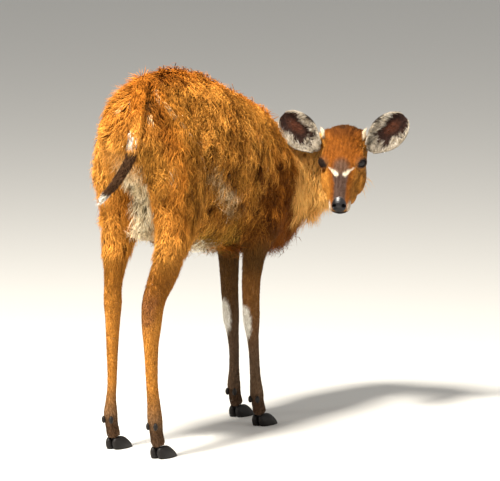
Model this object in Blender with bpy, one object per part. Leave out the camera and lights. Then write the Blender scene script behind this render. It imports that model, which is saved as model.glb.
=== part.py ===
"""A sitatunga calf that stands and looks back over its right side, life size, in named parts of the body."""

import itertools
import math
import random

import bmesh
import bpy
from mathutils import Matrix, Quaternion, Vector
from mathutils.bvhtree import BVHTree

# Places are written as (right, forward, up) in metres from the floor under the middle of the hind feet.
# The calf faces -Y, so its right is -X. The whole is set over the origin at the end.
GAP = 0.0003

TRUNK = (
    # forward, top, bottom, half width
    (-0.030, 0.590, 0.470, 0.034),
    (-0.014, 0.651, 0.430, 0.062),
    (0.020, 0.688, 0.405, 0.078),
    (0.080, 0.700, 0.385, 0.083),
    (0.130, 0.704, 0.372, 0.084),
    (0.200, 0.690, 0.360, 0.087),
    (0.280, 0.662, 0.350, 0.088),
    (0.360, 0.632, 0.338, 0.085),
    (0.440, 0.608, 0.328, 0.080),
    (0.500, 0.582, 0.326, 0.073),
    (0.556, 0.552, 0.324, 0.066),
    (0.598, 0.520, 0.332, 0.051),
    (0.622, 0.480, 0.354, 0.030),
)
NECK_START = 0.488
NECK_BEND_RADIUS = 0.110
NECK = (
    # degrees round the bend, middle height, half width, half depth with the hanging hair
    (-30, 0.472, 0.060, 0.116),
    (0, 0.466, 0.054, 0.108),
    (30, 0.463, 0.048, 0.098),
    (60, 0.470, 0.044, 0.084),
    (90, 0.486, 0.041, 0.066),
    (108, 0.500, 0.038, 0.054),
)
LEGS = {
    # right, forward, up, half width, half length from front to back
    "hind_right": (
        (0.035, 0.090, 0.640, 0.026, 0.050),
        (0.046, 0.078, 0.590, 0.038, 0.078),
        (0.052, 0.068, 0.530, 0.043, 0.090),
        (0.056, 0.068, 0.460, 0.038, 0.078),
        (0.060, 0.054, 0.415, 0.031, 0.059),
        (0.062, 0.032, 0.375, 0.0255, 0.045),
        (0.063, 0.010, 0.343, 0.0235, 0.040),
        (0.064, -0.022, 0.308, 0.0190, 0.033),
        (0.065, -0.036, 0.285, 0.0180, 0.031),
        (0.065, -0.040, 0.262, 0.0168, 0.028),
        (0.065, -0.042, 0.235, 0.0150, 0.024),
        (0.065, -0.043, 0.205, 0.0125, 0.0185),
        (0.065, -0.040, 0.139, 0.0108, 0.0152),
        (0.065, -0.034, 0.100, 0.0120, 0.0168),
        (0.065, -0.030, 0.072, 0.0145, 0.0172),
        (0.065, -0.025, 0.048, 0.0128, 0.0145),
        (0.065, -0.017, 0.024, 0.0150, 0.0155),
    ),
    "hind_left": (
        (-0.035, 0.088, 0.640, 0.026, 0.050),
        (-0.047, 0.072, 0.590, 0.038, 0.078),
        (-0.055, 0.063, 0.530, 0.043, 0.089),
        (-0.056, 0.065, 0.460, 0.038, 0.078),
        (-0.056, 0.050, 0.415, 0.031, 0.056),
        (-0.054, 0.034, 0.364, 0.0240, 0.038),
        (-0.053, 0.024, 0.320, 0.0172, 0.0265),
        (-0.054, 0.022, 0.296, 0.0155, 0.0235),
        (-0.055, 0.024, 0.2735, 0.0155, 0.0240),
        (-0.056, 0.0255, 0.245, 0.0135, 0.0195),
        (-0.057, 0.025, 0.194, 0.0112, 0.0155),
        (-0.059, 0.027, 0.126, 0.0092, 0.0118),
        (-0.060, 0.024, 0.090, 0.0104, 0.0135),
        (-0.060, 0.023, 0.068, 0.0135, 0.0162),
        (-0.060, 0.027, 0.046, 0.0124, 0.0140),
        (-0.060, 0.035, 0.024, 0.0148, 0.0152),
    ),
    "fore_right": (
        (0.048, 0.430, 0.500, 0.026, 0.060),
        (0.055, 0.410, 0.430, 0.030, 0.056),
        (0.059, 0.382, 0.380, 0.0285, 0.043),
        (0.059, 0.357, 0.342, 0.0230, 0.0315),
        (0.056, 0.350, 0.300, 0.0188, 0.0248),
        (0.054, 0.350, 0.270, 0.0170, 0.0222),
        (0.050, 0.358, 0.230, 0.0158, 0.0205),
        (0.048, 0.363, 0.208, 0.0158, 0.0200),
        (0.047, 0.369, 0.178, 0.0122, 0.0155),
        (0.047, 0.374, 0.148, 0.0105, 0.0135),
        (0.046, 0.381, 0.098, 0.0106, 0.0140),
        (0.046, 0.387, 0.064, 0.0136, 0.0164),
        (0.046, 0.392, 0.044, 0.0126, 0.0140),
        (0.046, 0.400, 0.024, 0.0148, 0.0152),
    ),
    "fore_left": (
        (-0.048, 0.466, 0.500, 0.026, 0.056),
        (-0.054, 0.464, 0.430, 0.030, 0.054),
        (-0.054, 0.455, 0.380, 0.0280, 0.042),
        (-0.051, 0.451, 0.330, 0.0220, 0.0298),
        (-0.049, 0.450, 0.290, 0.0184, 0.0240),
        (-0.048, 0.450, 0.250, 0.0166, 0.0210),
        (-0.047, 0.4525, 0.215, 0.0156, 0.0198),
        (-0.047, 0.4535, 0.197, 0.0156, 0.0198),
        (-0.046, 0.459, 0.165, 0.0120, 0.0152),
        (-0.045, 0.462, 0.132, 0.0102, 0.0132),
        (-0.045, 0.462, 0.092, 0.0104, 0.0136),
        (-0.045, 0.461, 0.062, 0.0134, 0.0162),
        (-0.045, 0.465, 0.043, 0.0126, 0.0140),
        (-0.045, 0.473, 0.024, 0.0148, 0.0152),
    ),
}
TAIL = (
    (0.010, 0.026, 0.688, 0.013, 0.012),
    (0.023, -0.012, 0.664, 0.015, 0.013),
    (0.030, -0.038, 0.612, 0.0165, 0.013),
    (0.030, -0.050, 0.560, 0.0160, 0.012),
    (0.011, -0.056, 0.520, 0.0135, 0.011),
    (-0.014, -0.058, 0.490, 0.0110, 0.009),
    (-0.033, -0.059, 0.469, 0.0055, 0.005),
)

# The head has its own frame: (right, ahead, above) from the middle between the eyeballs.
HEAD_PLACE = (0.1536, 0.5292, 0.4974)
HEAD_TURN = math.radians(158)
HEAD_PITCH = math.radians(43)
HEAD = (
    # ahead, middle height, half width, half height
    (-0.090, -0.012, 0.016, 0.018),
    (-0.079, -0.012, 0.032, 0.034),
    (-0.058, -0.012, 0.041, 0.046),
    (-0.032, -0.014, 0.0440, 0.048),
    (-0.010, -0.017, 0.0415, 0.0445),
    (0.012, -0.019, 0.0360, 0.0385),
    (0.040, -0.020, 0.0290, 0.0315),
    (0.064, -0.021, 0.0232, 0.0255),
    (0.083, -0.021, 0.0218, 0.0215),
    (0.096, -0.022, 0.0205, 0.0180),
    (0.103, -0.023, 0.0140, 0.0125),
)
HEAD_FORMS = (
    # side, ahead, above, three half sizes: brow, lower rim of the eye, cheek, jaw, lip, ear's base
    (0.0255, -0.010, 0.005, 0.0155, 0.0260, 0.0135),
    (0.0275, -0.004, -0.014, 0.0120, 0.0240, 0.0090),
    (0.0260, 0.004, -0.035, 0.0180, 0.0450, 0.0235),
    (0.0190, 0.046, -0.033, 0.0135, 0.0300, 0.0170),
    (0.0110, 0.090, -0.0195, 0.0095, 0.0120, 0.0125),
    (0.0330, -0.044, 0.002, 0.0130, 0.0160, 0.0160),
)
CHIN = (0, 0.076, -0.0370)
CHIN_SIZE = (0.0150, 0.0210, 0.0080)
EYE_SIDE = 0.0315
EYE_RADIUS = 0.0130
EYE_LOOK = (0.66, 0.74, 0.14)
LID_THICKNESS = 0.0021
LID_OPEN = (0.95, 0.62)
LID_CUT = (0.70, 0.74, 0.75)
NOSTRIL = (0.0092, 0.1010, -0.0115)
NOSTRIL_SIZE = (0.0052, 0.0085, 0.0032)
NOSTRIL_TILT = math.radians(40)
MOUTH_SIDE = 0.0255
MOUTH_BACK = 0.060
MOUTH_FRONT = 0.1045
MOUTH_LOW = -0.0325
MOUTH_FALL = 0.001
MOUTH_CUT = 0.0055
MOUTH_GAP = 0.0008
EAR_ROOT = (0.0515, -0.036, 0.001)
EAR_ALONG = (0.735, -0.40, 0.55)
EAR_CUP = (0.12, 0.62, 0.74)
EAR_LENGTH = 0.091
EAR_HALF_WIDTH = 0.0325
EAR_CUP_DEPTH = 0.017
EAR_WIDEST = 0.52
EAR_ROOT_WIDTH = 0.34
EAR_WALL = 0.003
EAR_STEM = 0.0125
EAR_STEM_BACK = 0.004

# One hoof: two claws that spread a little, and two dewclaws behind the fetlock.
CLAW = (
    # ahead, middle height, half width, half height
    (-0.0165, 0.008, 0.0040, 0.0080),
    (-0.010, 0.010, 0.0075, 0.0135),
    (0.003, 0.009, 0.0085, 0.0150),
    (0.016, 0.005, 0.0070, 0.0125),
    (0.028, 0.001, 0.0040, 0.0080),
    (0.035, -0.001, 0.0012, 0.0030),
)
CLAW_SIDE = 0.0090
CLAW_SPREAD = math.radians(9)
DEWCLAW = (0.0062, 0.0055, 0.0092)
DEWCLAW_PLACE = (0.0085, -0.0130, -0.010)
DEWCLAW_KEPT = 0.07
SOLE_AHEAD = 0.006

BODY_VOXEL = 0.0055
BODY_TRIANGLES = 2900
HEAD_VOXEL = 0.0020
HEAD_TRIANGLES = 1300

# The coat: a core that reaches half way to the tips, and flat locks that lie over it down to their roots.
CORE_DEPTH = 0.0065
LOCK_ROOT = 0.004
LOCK_LIFT = 0.0025
LOCK_SPACING = 0.053
LOCK_FULL = 0.75
LOCK_LENGTH = 0.092
LOCK = (
    # share of the length, share of the rise, half width, half thickness
    (0.00, 0.00, 0.013, 0.0018),
    (0.22, 0.72, 0.022, 0.0017),
    (0.60, 0.93, 0.018, 0.0013),
    (1.00, 1.00, 0.000, 0.0000),
)
LOCK_CURL = 0.16
LOCK_CLEAR = 0.0006
LOCK_SHORTER = (1, 0.8, 0.6)
LOCK_BACK = (0, 0.008, 0.016, 0.024)
LOCK_RAISED = (0, 0.001, 0.002)
LEG_NEAR = 0.07
LEG_BARE = 0.385
LEG_FULL = 0.425
TAIL_BARE = 0.020
HEAD_BARE = 0.075
HEAD_FADE = 0.030
NECK_LOW = 0.36
LOCK_TRIES = 9000
LOCK_SEED = 4
LOCKED = ("thigh_left", "thigh_right", "rump", "torso", "chest", "neck_lower", "neck_upper")

# Where the body is parted.
RUMP_END = 0.205
TORSO_END = 0.400
CHEST_END = 0.516
NECK_CUT = 62
HEAD_CUT = (0.1456, 0.5902, 0.4949)
HEAD_CUT_NORMAL = (0.50, -0.84, -0.22)
HAUNCH_CUT = (0, 0.035, 0.470)
HAUNCH_NORMAL = (0.62, 0.785)
THIGH_DEPTH = 0.16
THIGH_CUT_WIDE = 0.44
THIGH_CUT_ASIDE = 0.0004
LEG_CUTS = {
    # height, radius of the plate
    "hind": ((0.383, 0.056), (0.258, 0.045), (0.084, 0.030)),
    "fore": ((0.318, 0.045), (0.190, 0.030), (0.080, 0.030)),
}
LEG_PARTS = {
    # part, a height inside it
    "hind": (("thigh", 0.410), ("shank", 0.320), ("hind_cannon", 0.170), ("hind_foot", 0.060)),
    "fore": (("forearm", 0.270), ("fore_cannon", 0.130), ("fore_foot", 0.055)),
}

COLOURS = {
    "coat": ((0.50, 0.20, 0.05), 0.85),
    "eye": ((0.01, 0.008, 0.006), 0.15),
    "hoof": ((0.03, 0.025, 0.02), 0.45),
}


def at(right, forward, up):
    """A place in the calf's own words, in scene axes."""
    return Vector((-right, -forward, up))


def head_matrix():
    ahead = at(math.sin(HEAD_TURN) * math.cos(HEAD_PITCH), math.cos(HEAD_TURN) * math.cos(HEAD_PITCH), 0)
    ahead.z = -math.sin(HEAD_PITCH)
    right = ahead.cross(Vector((0, 0, 1))).normalized()
    above = right.cross(ahead)
    matrix = Matrix((right, ahead, above)).transposed().to_4x4()
    matrix.translation = at(*HEAD_PLACE)
    return matrix


def smooth_path(stations, steps):
    """The stations with others between them, on a Catmull-Rom curve through all their numbers."""
    rows = [Vector(row) for row in stations]
    rows = [2 * rows[0] - rows[1]] + rows + [2 * rows[-1] - rows[-2]]
    path = []
    for a, b, c, d in zip(rows, rows[1:], rows[2:], rows[3:]):
        for k in range(steps):
            t = k / steps
            path.append(
                0.5 * (2 * b + (c - a) * t + (2 * a - 5 * b + 4 * c - d) * t**2 + (3 * b - a - 3 * c + d) * t**3)
            )
    return path + [rows[-2]]


def tube(bm, stations, side, steps=3, sides=20, up=None):
    """An oval tube through (x, y, z, half width, half depth) rows. side is the direction of its width."""
    path = smooth_path(stations, steps)
    rings = []
    for k, row in enumerate(path):
        before, after = path[max(k - 1, 0)], path[min(k + 1, len(path) - 1)]
        along = Vector(after[:3]) - Vector(before[:3])
        along.normalize()
        across = along.cross(up) if up else side - along * side.dot(along)
        across.normalize()
        depth = along.cross(across)
        frame = Matrix((across * row[3], depth * row[4], along)).transposed().to_4x4()
        frame.translation = Vector(row[:3])
        ends = k in (0, len(path) - 1)
        ring = bmesh.ops.create_circle(bm, cap_ends=ends, segments=sides, radius=1, matrix=frame)["verts"]
        rings.append({edge for vert in ring for edge in vert.link_edges if edge.other_vert(vert) in ring})
    for first, second in zip(rings, rings[1:]):
        bmesh.ops.bridge_loops(bm, edges=list(first | second))
    bmesh.ops.recalc_face_normals(bm, faces=bm.faces)


def ball(bm, centre, radii, matrix=None, fine=3):
    """A ball stretched to three half sizes."""
    place = (matrix or Matrix()) @ Matrix.Translation(Vector(centre)) @ Matrix.Diagonal((*radii, 1))
    bmesh.ops.create_icosphere(bm, subdivisions=fine, radius=1, matrix=place)


def material(name):
    found = bpy.data.materials.get(name)
    if found:
        return found
    colour, roughness = COLOURS[name]
    made = bpy.data.materials.new(name)
    made.use_nodes = True
    shader = made.node_tree.nodes["Principled BSDF"]
    shader.inputs["Base Color"].default_value = (*colour, 1)
    shader.inputs["Roughness"].default_value = roughness
    shader.inputs["Metallic"].default_value = 0
    return made


def to_object(bm, name, slot="coat"):
    mesh = bpy.data.meshes.new(name)
    bm.to_mesh(mesh)
    bm.free()
    mesh.materials.append(material(slot))
    made = bpy.data.objects.new(name, mesh)
    bpy.context.scene.collection.objects.link(made)
    return made


def apply_modifiers(piece):
    graph = bpy.context.evaluated_depsgraph_get()
    mesh = bpy.data.meshes.new_from_object(piece.evaluated_get(graph))
    piece.modifiers.clear()
    old, piece.data = piece.data, mesh
    bpy.data.meshes.remove(old)


def remeshed(piece, voxel, smoothing, triangles):
    """The piece as one smooth skin of about this many triangles."""
    remesh = piece.modifiers.new("remesh", "REMESH")
    remesh.mode = "VOXEL"
    remesh.voxel_size = voxel
    smooth = piece.modifiers.new("smooth", "SMOOTH")
    smooth.factor = 0.5
    smooth.iterations = smoothing
    apply_modifiers(piece)
    faces = sum(len(face.vertices) - 2 for face in piece.data.polygons)
    decimate = piece.modifiers.new("decimate", "DECIMATE")
    decimate.ratio = min(1, triangles / faces)
    apply_modifiers(piece)


def boolean(piece, other, operation, solver="EXACT"):
    """Joins or cuts the piece with another closed piece, which is then removed."""
    cut = piece.modifiers.new("boolean", "BOOLEAN")
    cut.operation = operation
    cut.solver = solver
    cut.object = other
    apply_modifiers(piece)
    bpy.data.objects.remove(other)


def bodies(bm):
    """Lists of faces, one for each closed surface of the mesh."""
    left = set(bm.faces)
    found = []
    while left:
        front = [left.pop()]
        body = []
        while front:
            face = front.pop()
            body.append(face)
            plain = [edge for edge in face.edges if len(edge.link_faces) == 2]
            near = {other for edge in plain for other in edge.link_faces} & left
            left -= near
            front.extend(near)
        found.append(body)
    return found


def face_outwards(piece):
    bm = bmesh.new()
    bm.from_mesh(piece.data)
    bmesh.ops.recalc_face_normals(bm, faces=bm.faces)
    bm.to_mesh(piece.data)
    bm.free()


def keep_largest(piece):
    bm = bmesh.new()
    bm.from_mesh(piece.data)
    bmesh.ops.triangulate(bm, faces=bm.faces)
    found = sorted(bodies(bm), key=lambda body: sum(face.calc_area() for face in body))
    loose = [face for body in found[:-1] for face in body]
    bmesh.ops.delete(bm, geom=loose, context="FACES")
    bm.to_mesh(piece.data)
    bm.free()


def grown(piece, distance):
    """A copy of the piece whose surface is moved out by a distance."""
    copy = piece.copy()
    copy.data = piece.data.copy()
    bpy.context.scene.collection.objects.link(copy)
    displace = copy.modifiers.new("grow", "DISPLACE")
    displace.strength = distance
    displace.mid_level = 0
    apply_modifiers(copy)
    return copy


def fit(piece, neighbour):
    """Cuts the piece clear of a neighbour that it grows from."""
    boolean(piece, grown(neighbour, GAP), "DIFFERENCE", "MANIFOLD")
    keep_largest(piece)


def plate(centre, normal, wide, high=None):
    """An oval plate as thin as the gap between two parts, of two half sizes."""
    bm = bmesh.new()
    turn = Vector(normal).to_track_quat("Z", "Y").to_matrix().to_4x4()
    size = Matrix.Diagonal((wide, high or wide, GAP, 1))
    bmesh.ops.create_cone(bm, cap_ends=True, segments=24, radius1=1, radius2=1, depth=1)
    bm.transform(Matrix.Translation(centre) @ turn @ size)
    return to_object(bm, "plate")


def neck_place(degrees, height):
    """The middle of the neck at an angle round its bend. Before 0 it runs straight back into the chest."""
    if degrees < 0:
        return at(0, NECK_START + math.radians(degrees) * NECK_BEND_RADIUS, height)
    angle = math.radians(degrees)
    right = NECK_BEND_RADIUS * (1 - math.cos(angle))
    return at(right, NECK_START + NECK_BEND_RADIUS * math.sin(angle), height)


def neck_heading(degrees):
    angle = math.radians(max(degrees, 0))
    return at(math.sin(angle), math.cos(angle), 0)


def rows_of_body():
    """The tubes of the trunk, neck and legs, as rows for tube() and the direction of their width."""
    right = at(1, 0, 0)
    trunk = [(*at(0, f, (top + low) / 2), wide, (top - low) / 2) for f, top, low, wide in TRUNK]
    neck = [(*neck_place(angle, height), wide, deep) for angle, height, wide, deep in NECK]
    legs = [[(*at(*row[:3]), row[3], row[4]) for row in leg] for leg in LEGS.values()]
    return [(trunk, right, None), (neck, None, Vector((0, 0, 1)))] + [(leg, right, None) for leg in legs]


def eye_axes(side):
    """The way an eye looks, and the ways to its front corner and its upper lid."""
    look = Vector((side * EYE_LOOK[0], EYE_LOOK[1], EYE_LOOK[2])).normalized()
    ahead = Vector((0, 1, 0))
    ahead = (ahead - look * ahead.dot(look)).normalized()
    above = look.cross(ahead) * -side
    return look, ahead, above


def head_solid():
    """The head as one fine skin, with brows, cheeks, lips and lids, and eye sockets, nostrils and mouth cut."""
    matrix = head_matrix()
    bm = bmesh.new()
    rows = [(0, ahead, above, wide, high) for ahead, above, wide, high in HEAD]
    tube(bm, rows, Vector((1, 0, 0)), steps=4, sides=28)
    for side, (across, ahead, above, *size) in itertools.product((1, -1), HEAD_FORMS):
        ball(bm, (side * across, ahead, above), size)
    ball(bm, CHIN, CHIN_SIZE)
    head = to_object(bm, "head")
    remeshed(head, HEAD_VOXEL, 14, HEAD_TRIANGLES)
    for side in (1, -1):
        look, ahead, above = eye_axes(side)
        centre = Vector((side * EYE_SIDE, 0, 0))
        rim = []
        for k in range(17):
            angle = 2 * math.pi * k / 16
            way = look + ahead * LID_OPEN[0] * math.cos(angle) + above * LID_OPEN[1] * math.sin(angle)
            rim.append((*(centre + way.normalized() * EYE_RADIUS), LID_THICKNESS, LID_THICKNESS))
        bm = bmesh.new()
        tube(bm, rim, above, steps=1, sides=7)
        lid = to_object(bm, "lid")
        remeshed(lid, HEAD_VOXEL / 2, 1, 200)
        boolean(head, lid, "UNION")
        bm = bmesh.new()
        turn = Matrix((ahead, above, look)).transposed().to_4x4()
        turn.translation = centre + look * EYE_RADIUS * 1.05
        opening = (LID_OPEN[0] * LID_CUT[0], LID_OPEN[1] * LID_CUT[1], LID_CUT[2])
        ball(bm, (0, 0, 0), [EYE_RADIUS * part for part in opening], turn)
        boolean(head, to_object(bm, "opening"), "DIFFERENCE")
        bm = bmesh.new()
        ball(bm, centre, [EYE_RADIUS + GAP] * 3)
        boolean(head, to_object(bm, "socket"), "DIFFERENCE")
        bm = bmesh.new()
        place = Matrix.Translation(Vector((side * NOSTRIL[0], NOSTRIL[1], NOSTRIL[2])))
        place = place @ Matrix.Rotation(side * NOSTRIL_TILT, 4, "Y")
        ball(bm, (0, 0, 0), NOSTRIL_SIZE, place, fine=2)
        boolean(head, to_object(bm, "nostril"), "DIFFERENCE")
    bm = bmesh.new()
    rows = []
    for k in range(-6, 7):
        turn = k / 6 * math.pi / 2
        across, ahead = MOUTH_SIDE * math.sin(turn), MOUTH_BACK + (MOUTH_FRONT - MOUTH_BACK) * math.cos(turn)
        rows.append((across, ahead, MOUTH_LOW + MOUTH_FALL * math.cos(turn), MOUTH_CUT, MOUTH_GAP))
    tube(bm, rows, None, steps=1, sides=8, up=Vector((0, 0, 1)))
    boolean(head, to_object(bm, "mouth"), "DIFFERENCE")
    keep_largest(head)
    head.data.transform(matrix)
    return head


def eye(name, side):
    """An eyeball whose poles face up and down."""
    bm = bmesh.new()
    bmesh.ops.create_uvsphere(bm, u_segments=12, v_segments=8, radius=EYE_RADIUS)
    bmesh.ops.translate(bm, vec=(side * EYE_SIDE, 0, 0), verts=bm.verts)
    bm.transform(head_matrix())
    return to_object(bm, name, "eye")


def ear(name, side, neighbour):
    """A leaf that is cupped forward, thick as the real one, rolled narrow at its root."""
    along = Vector((side * EAR_ALONG[0], EAR_ALONG[1], EAR_ALONG[2])).normalized()
    cup = Vector((side * EAR_CUP[0], EAR_CUP[1], EAR_CUP[2]))
    cup = (cup - along * cup.dot(along)).normalized()
    across = along.cross(cup)
    bm = bmesh.new()
    bmesh.ops.create_grid(bm, x_segments=5, y_segments=8, size=1)
    root = Vector((side * EAR_ROOT[0], EAR_ROOT[1], EAR_ROOT[2]))
    for vert in bm.verts:
        turn = vert.co.x
        way = math.sin(math.pi / 2 * (vert.co.y + 1) / 2)
        if way < EAR_WIDEST:
            rising = math.sin(math.pi / 2 * way / EAR_WIDEST)
            half = EAR_HALF_WIDTH * (EAR_ROOT_WIDTH + (1 - EAR_ROOT_WIDTH) * rising)
        else:
            half = EAR_HALF_WIDTH * math.sqrt(1 - ((way - EAR_WIDEST) / (1.02 - EAR_WIDEST)) ** 2)
        bend = math.radians(100 - 45 * min(1, way * 1.6))
        wide = half * math.sin(bend * turn) / math.sin(min(bend, math.pi / 2))
        deep = EAR_CUP_DEPTH * (1 - way**3) * (1 - math.cos(bend * turn)) * (0.6 + 0.4 * (1 - way))
        vert.co = root + along * EAR_LENGTH * way + across * wide + cup * deep
    made = to_object(bm, name)
    wall = made.modifiers.new("wall", "SOLIDIFY")
    wall.thickness = EAR_WALL
    wall.offset = 0
    apply_modifiers(made)
    face_outwards(made)
    stem = bmesh.new()
    ball(stem, root + (along - cup) * EAR_STEM_BACK, [EAR_STEM] * 3, fine=2)
    boolean(made, to_object(stem, "stem"), "UNION", "MANIFOLD")
    keep_largest(made)
    made.data.transform(head_matrix())
    fit(made, neighbour)
    return made


def hoof_place(leg):
    """The place on the floor between the two claws of a leg."""
    last = LEGS[leg][-1]
    return at(last[0], last[1] + SOLE_AHEAD, 0)


def claw(name, leg, side, foot):
    bm = bmesh.new()
    rows = [(0, -ahead, above, wide, high) for ahead, above, wide, high in CLAW]
    tube(bm, rows, Vector((1, 0, 0)), steps=1, sides=10)
    bm.transform(Matrix.Rotation(side * CLAW_SPREAD, 4, "Z"))
    bmesh.ops.translate(bm, vec=hoof_place(leg) + Vector((side * CLAW_SIDE, 0, 0)), verts=bm.verts)
    cut = bmesh.ops.bisect_plane(
        bm, geom=bm.verts[:] + bm.edges[:] + bm.faces[:], plane_co=(0, 0, 0), plane_no=(0, 0, -1), clear_outer=True
    )
    edges = [edge for edge in cut["geom_cut"] if isinstance(edge, bmesh.types.BMEdge)]
    for edge in edges:
        for vert in edge.verts:
            vert.co.z = 0
    bmesh.ops.contextual_create(bm, geom=edges)
    made = to_object(bm, name, "hoof")
    fit(made, foot)
    return made


def dewclaw(name, leg, side, foot):
    aside, ahead, above = DEWCLAW_PLACE
    bm = bmesh.new()
    ball(bm, at(*LEGS[leg][-3][:3]) + at(-side * aside, ahead, above), DEWCLAW)
    made = to_object(bm, name, "hoof")
    decimate = made.modifiers.new("decimate", "DECIMATE")
    decimate.ratio = DEWCLAW_KEPT
    apply_modifiers(made)
    fit(made, foot)
    return made


def tail(body):
    bm = bmesh.new()
    tube(bm, [(*at(*row[:3]), row[3], row[4]) for row in TAIL], at(1, 0, 0), steps=2, sides=12)
    made = to_object(bm, "tail")
    fit(made, body)
    return made


def leg_at(leg, height):
    """The middle of a leg at a height, or nothing above and below it."""
    rows = LEGS[leg]
    for high, low in zip(rows, rows[1:]):
        if low[2] <= height <= high[2]:
            share = (high[2] - height) / (high[2] - low[2])
            return at(*(a + (b - a) * share for a, b in zip(high[:3], low[:3])))
    return None


def cut_plates():
    """The thin plates between the parts of the body."""
    plates = [
        plate(at(0, RUMP_END, 0.52), at(0, 1, 0), 0.25),
        plate(at(0, TORSO_END, 0.48), at(0, 1, 0), 0.25),
        plate(at(0, CHEST_END, 0.47), at(0.15, 1, 0.10), 0.16),
        plate(neck_place(NECK_CUT, 0.48), neck_heading(NECK_CUT), 0.125),
        plate(at(*HEAD_CUT), at(*HEAD_CUT_NORMAL), 0.128, 0.165),
        plate(at(*HAUNCH_CUT), at(0, *HAUNCH_NORMAL), 0.24),
    ]
    between = bmesh.new()
    bmesh.ops.create_cube(between, size=1)
    tilt = Matrix((at(1, 0, 0), at(0, HAUNCH_NORMAL[1], -HAUNCH_NORMAL[0]), at(0, *HAUNCH_NORMAL))).transposed()
    low = Matrix.Translation((THIGH_CUT_ASIDE, 0, -THIGH_DEPTH / 2))
    low = low @ Matrix.Diagonal((GAP, THIGH_CUT_WIDE, THIGH_DEPTH, 1))
    between.transform(Matrix.Translation(at(*HAUNCH_CUT)) @ tilt.to_4x4() @ low)
    plates.append(to_object(between, "between_thighs"))
    for leg in LEGS:
        for height, radius in LEG_CUTS[leg.split("_")[0]]:
            along = leg_at(leg, height + 0.012) - leg_at(leg, height - 0.012)
            plates.append(plate(leg_at(leg, height), along, radius))
    return plates


def part_seeds():
    """A place inside each part that the plates leave."""
    seeds = {
        "rump": at(0, 0.11, 0.60),
        "torso": at(0, 0.30, 0.50),
        "chest": at(0, 0.46, 0.48),
        "neck_lower": neck_place(32, 0.47),
        "neck_upper": neck_place(84, 0.49),
        "head": head_matrix() @ Vector((0, 0.02, -0.03)),
    }
    for leg in LEGS:
        limb, side = leg.split("_")
        for name, height in LEG_PARTS[limb]:
            seeds[f"{name}_{side}"] = leg_at(leg, height)
    return seeds


def coat_share(place):
    """The share of the coat's depth at a place: none on the lower legs, by the head and at the tail's root."""
    share = 1
    for leg in LEGS:
        middle = leg_at(leg, place.z)
        if middle and (place - middle).xy.length < LEG_NEAR:
            share = min(share, (place.z - LEG_BARE) / (LEG_FULL - LEG_BARE))
    share = min(share, ((place - at(*TAIL[0][:3])).length - TAIL_BARE) / TAIL_BARE)
    share = min(share, ((place - at(*HEAD_PLACE)).length - HEAD_BARE) / HEAD_FADE)
    return max(0, min(1, share))


def lie_of_coat(place, normal):
    """The way the hair lies: back and down over the trunk, down and towards the chest on the neck."""
    right, forward = -place.x, -place.y
    turned = math.degrees(math.atan2(forward - NECK_START, NECK_BEND_RADIUS - right))
    if forward > NECK_START and turned > 0 and place.z > NECK_LOW:
        way = neck_heading(turned) * -0.55 + Vector((0, 0, -0.85))
    else:
        way = at(0, -0.75, -0.66)
    return (way - normal * way.dot(normal)).normalized()


def core_of(body):
    """Draws the body in to the core of its coat."""
    normals = [vert.normal.copy() for vert in body.data.vertices]
    for vert, normal in zip(body.data.vertices, normals):
        vert.co -= normal * CORE_DEPTH * coat_share(vert.co)


def lock(tips, place, normal, length, curl, lift):
    """One flat lock from its root in the core to its tip at the coat's surface, which is tips."""
    bm = bmesh.new()
    rings = []
    done = 0
    for share, rise, wide, thick in LOCK:
        way = lie_of_coat(place, normal)
        way.rotate(Quaternion(normal, curl * (1 + share)))
        foot, normal = tips.find_nearest(place + way * length * (share - done))[:2]
        place, done = foot, share
        height = (LOCK_LIFT + lift) * share - (CORE_DEPTH + LOCK_ROOT) * (1 - rise)
        centre = foot + normal * height
        across = way.cross(normal).normalized()
        corners = (across * wide, normal * thick, -across * wide, -normal * thick)
        rings.append([bm.verts.new(centre + corner) for corner in corners])
    for first, second in zip(rings, rings[1:]):
        for k in range(4):
            bm.faces.new((first[k], first[k - 3], second[k - 3], second[k]))
    bm.faces.new(rings[0])
    bmesh.ops.pointmerge(bm, verts=rings[-1], merge_co=rings[-1][0].co)
    bmesh.ops.recalc_face_normals(bm, faces=bm.faces)
    return bm


def clear_lock(tips, near, place, normal, draw):
    """A lock that crosses no other part: it is set back, raised or shortened until it is clear of them."""
    length = LOCK_LENGTH * draw.uniform(0.88, 1.12)
    curl = draw.uniform(-LOCK_CURL, LOCK_CURL)
    for shorter, back, lift in itertools.product(LOCK_SHORTER, LOCK_BACK, LOCK_RAISED):
        start, facing = tips.find_nearest(place - lie_of_coat(place, normal) * back)[:2]
        bm = lock(tips, start, facing, length * shorter, curl, lift)
        tree = BVHTree.FromBMesh(bm)
        if not any(tree.overlap(other) for other in near):
            return to_object(bm, "lock")
        bm.free()
    return None


def roots_of_locks(body, draw):
    """Places and normals spread evenly over the part of the body that has its full coat."""
    bm = bmesh.new()
    bm.from_mesh(body.data)
    bmesh.ops.triangulate(bm, faces=bm.faces)
    faces = [(face.calc_area(), [vert.co.copy() for vert in face.verts], face.normal.copy()) for face in bm.faces]
    bm.free()
    found = []
    for _ in range(LOCK_TRIES):
        area, corners, normal = draw.choices(faces, [face[0] for face in faces])[0]
        first, second = sorted((draw.random(), draw.random()))
        place = corners[0] * first + corners[1] * (second - first) + corners[2] * (1 - second)
        if coat_share(place) > LOCK_FULL and all((place - other).length > LOCK_SPACING for other, _ in found):
            found.append((place, normal))
    return found


def tree_of(piece):
    bm = bmesh.new()
    bm.from_mesh(piece.data)
    tree = BVHTree.FromBMesh(bm)
    bm.free()
    return tree


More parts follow.
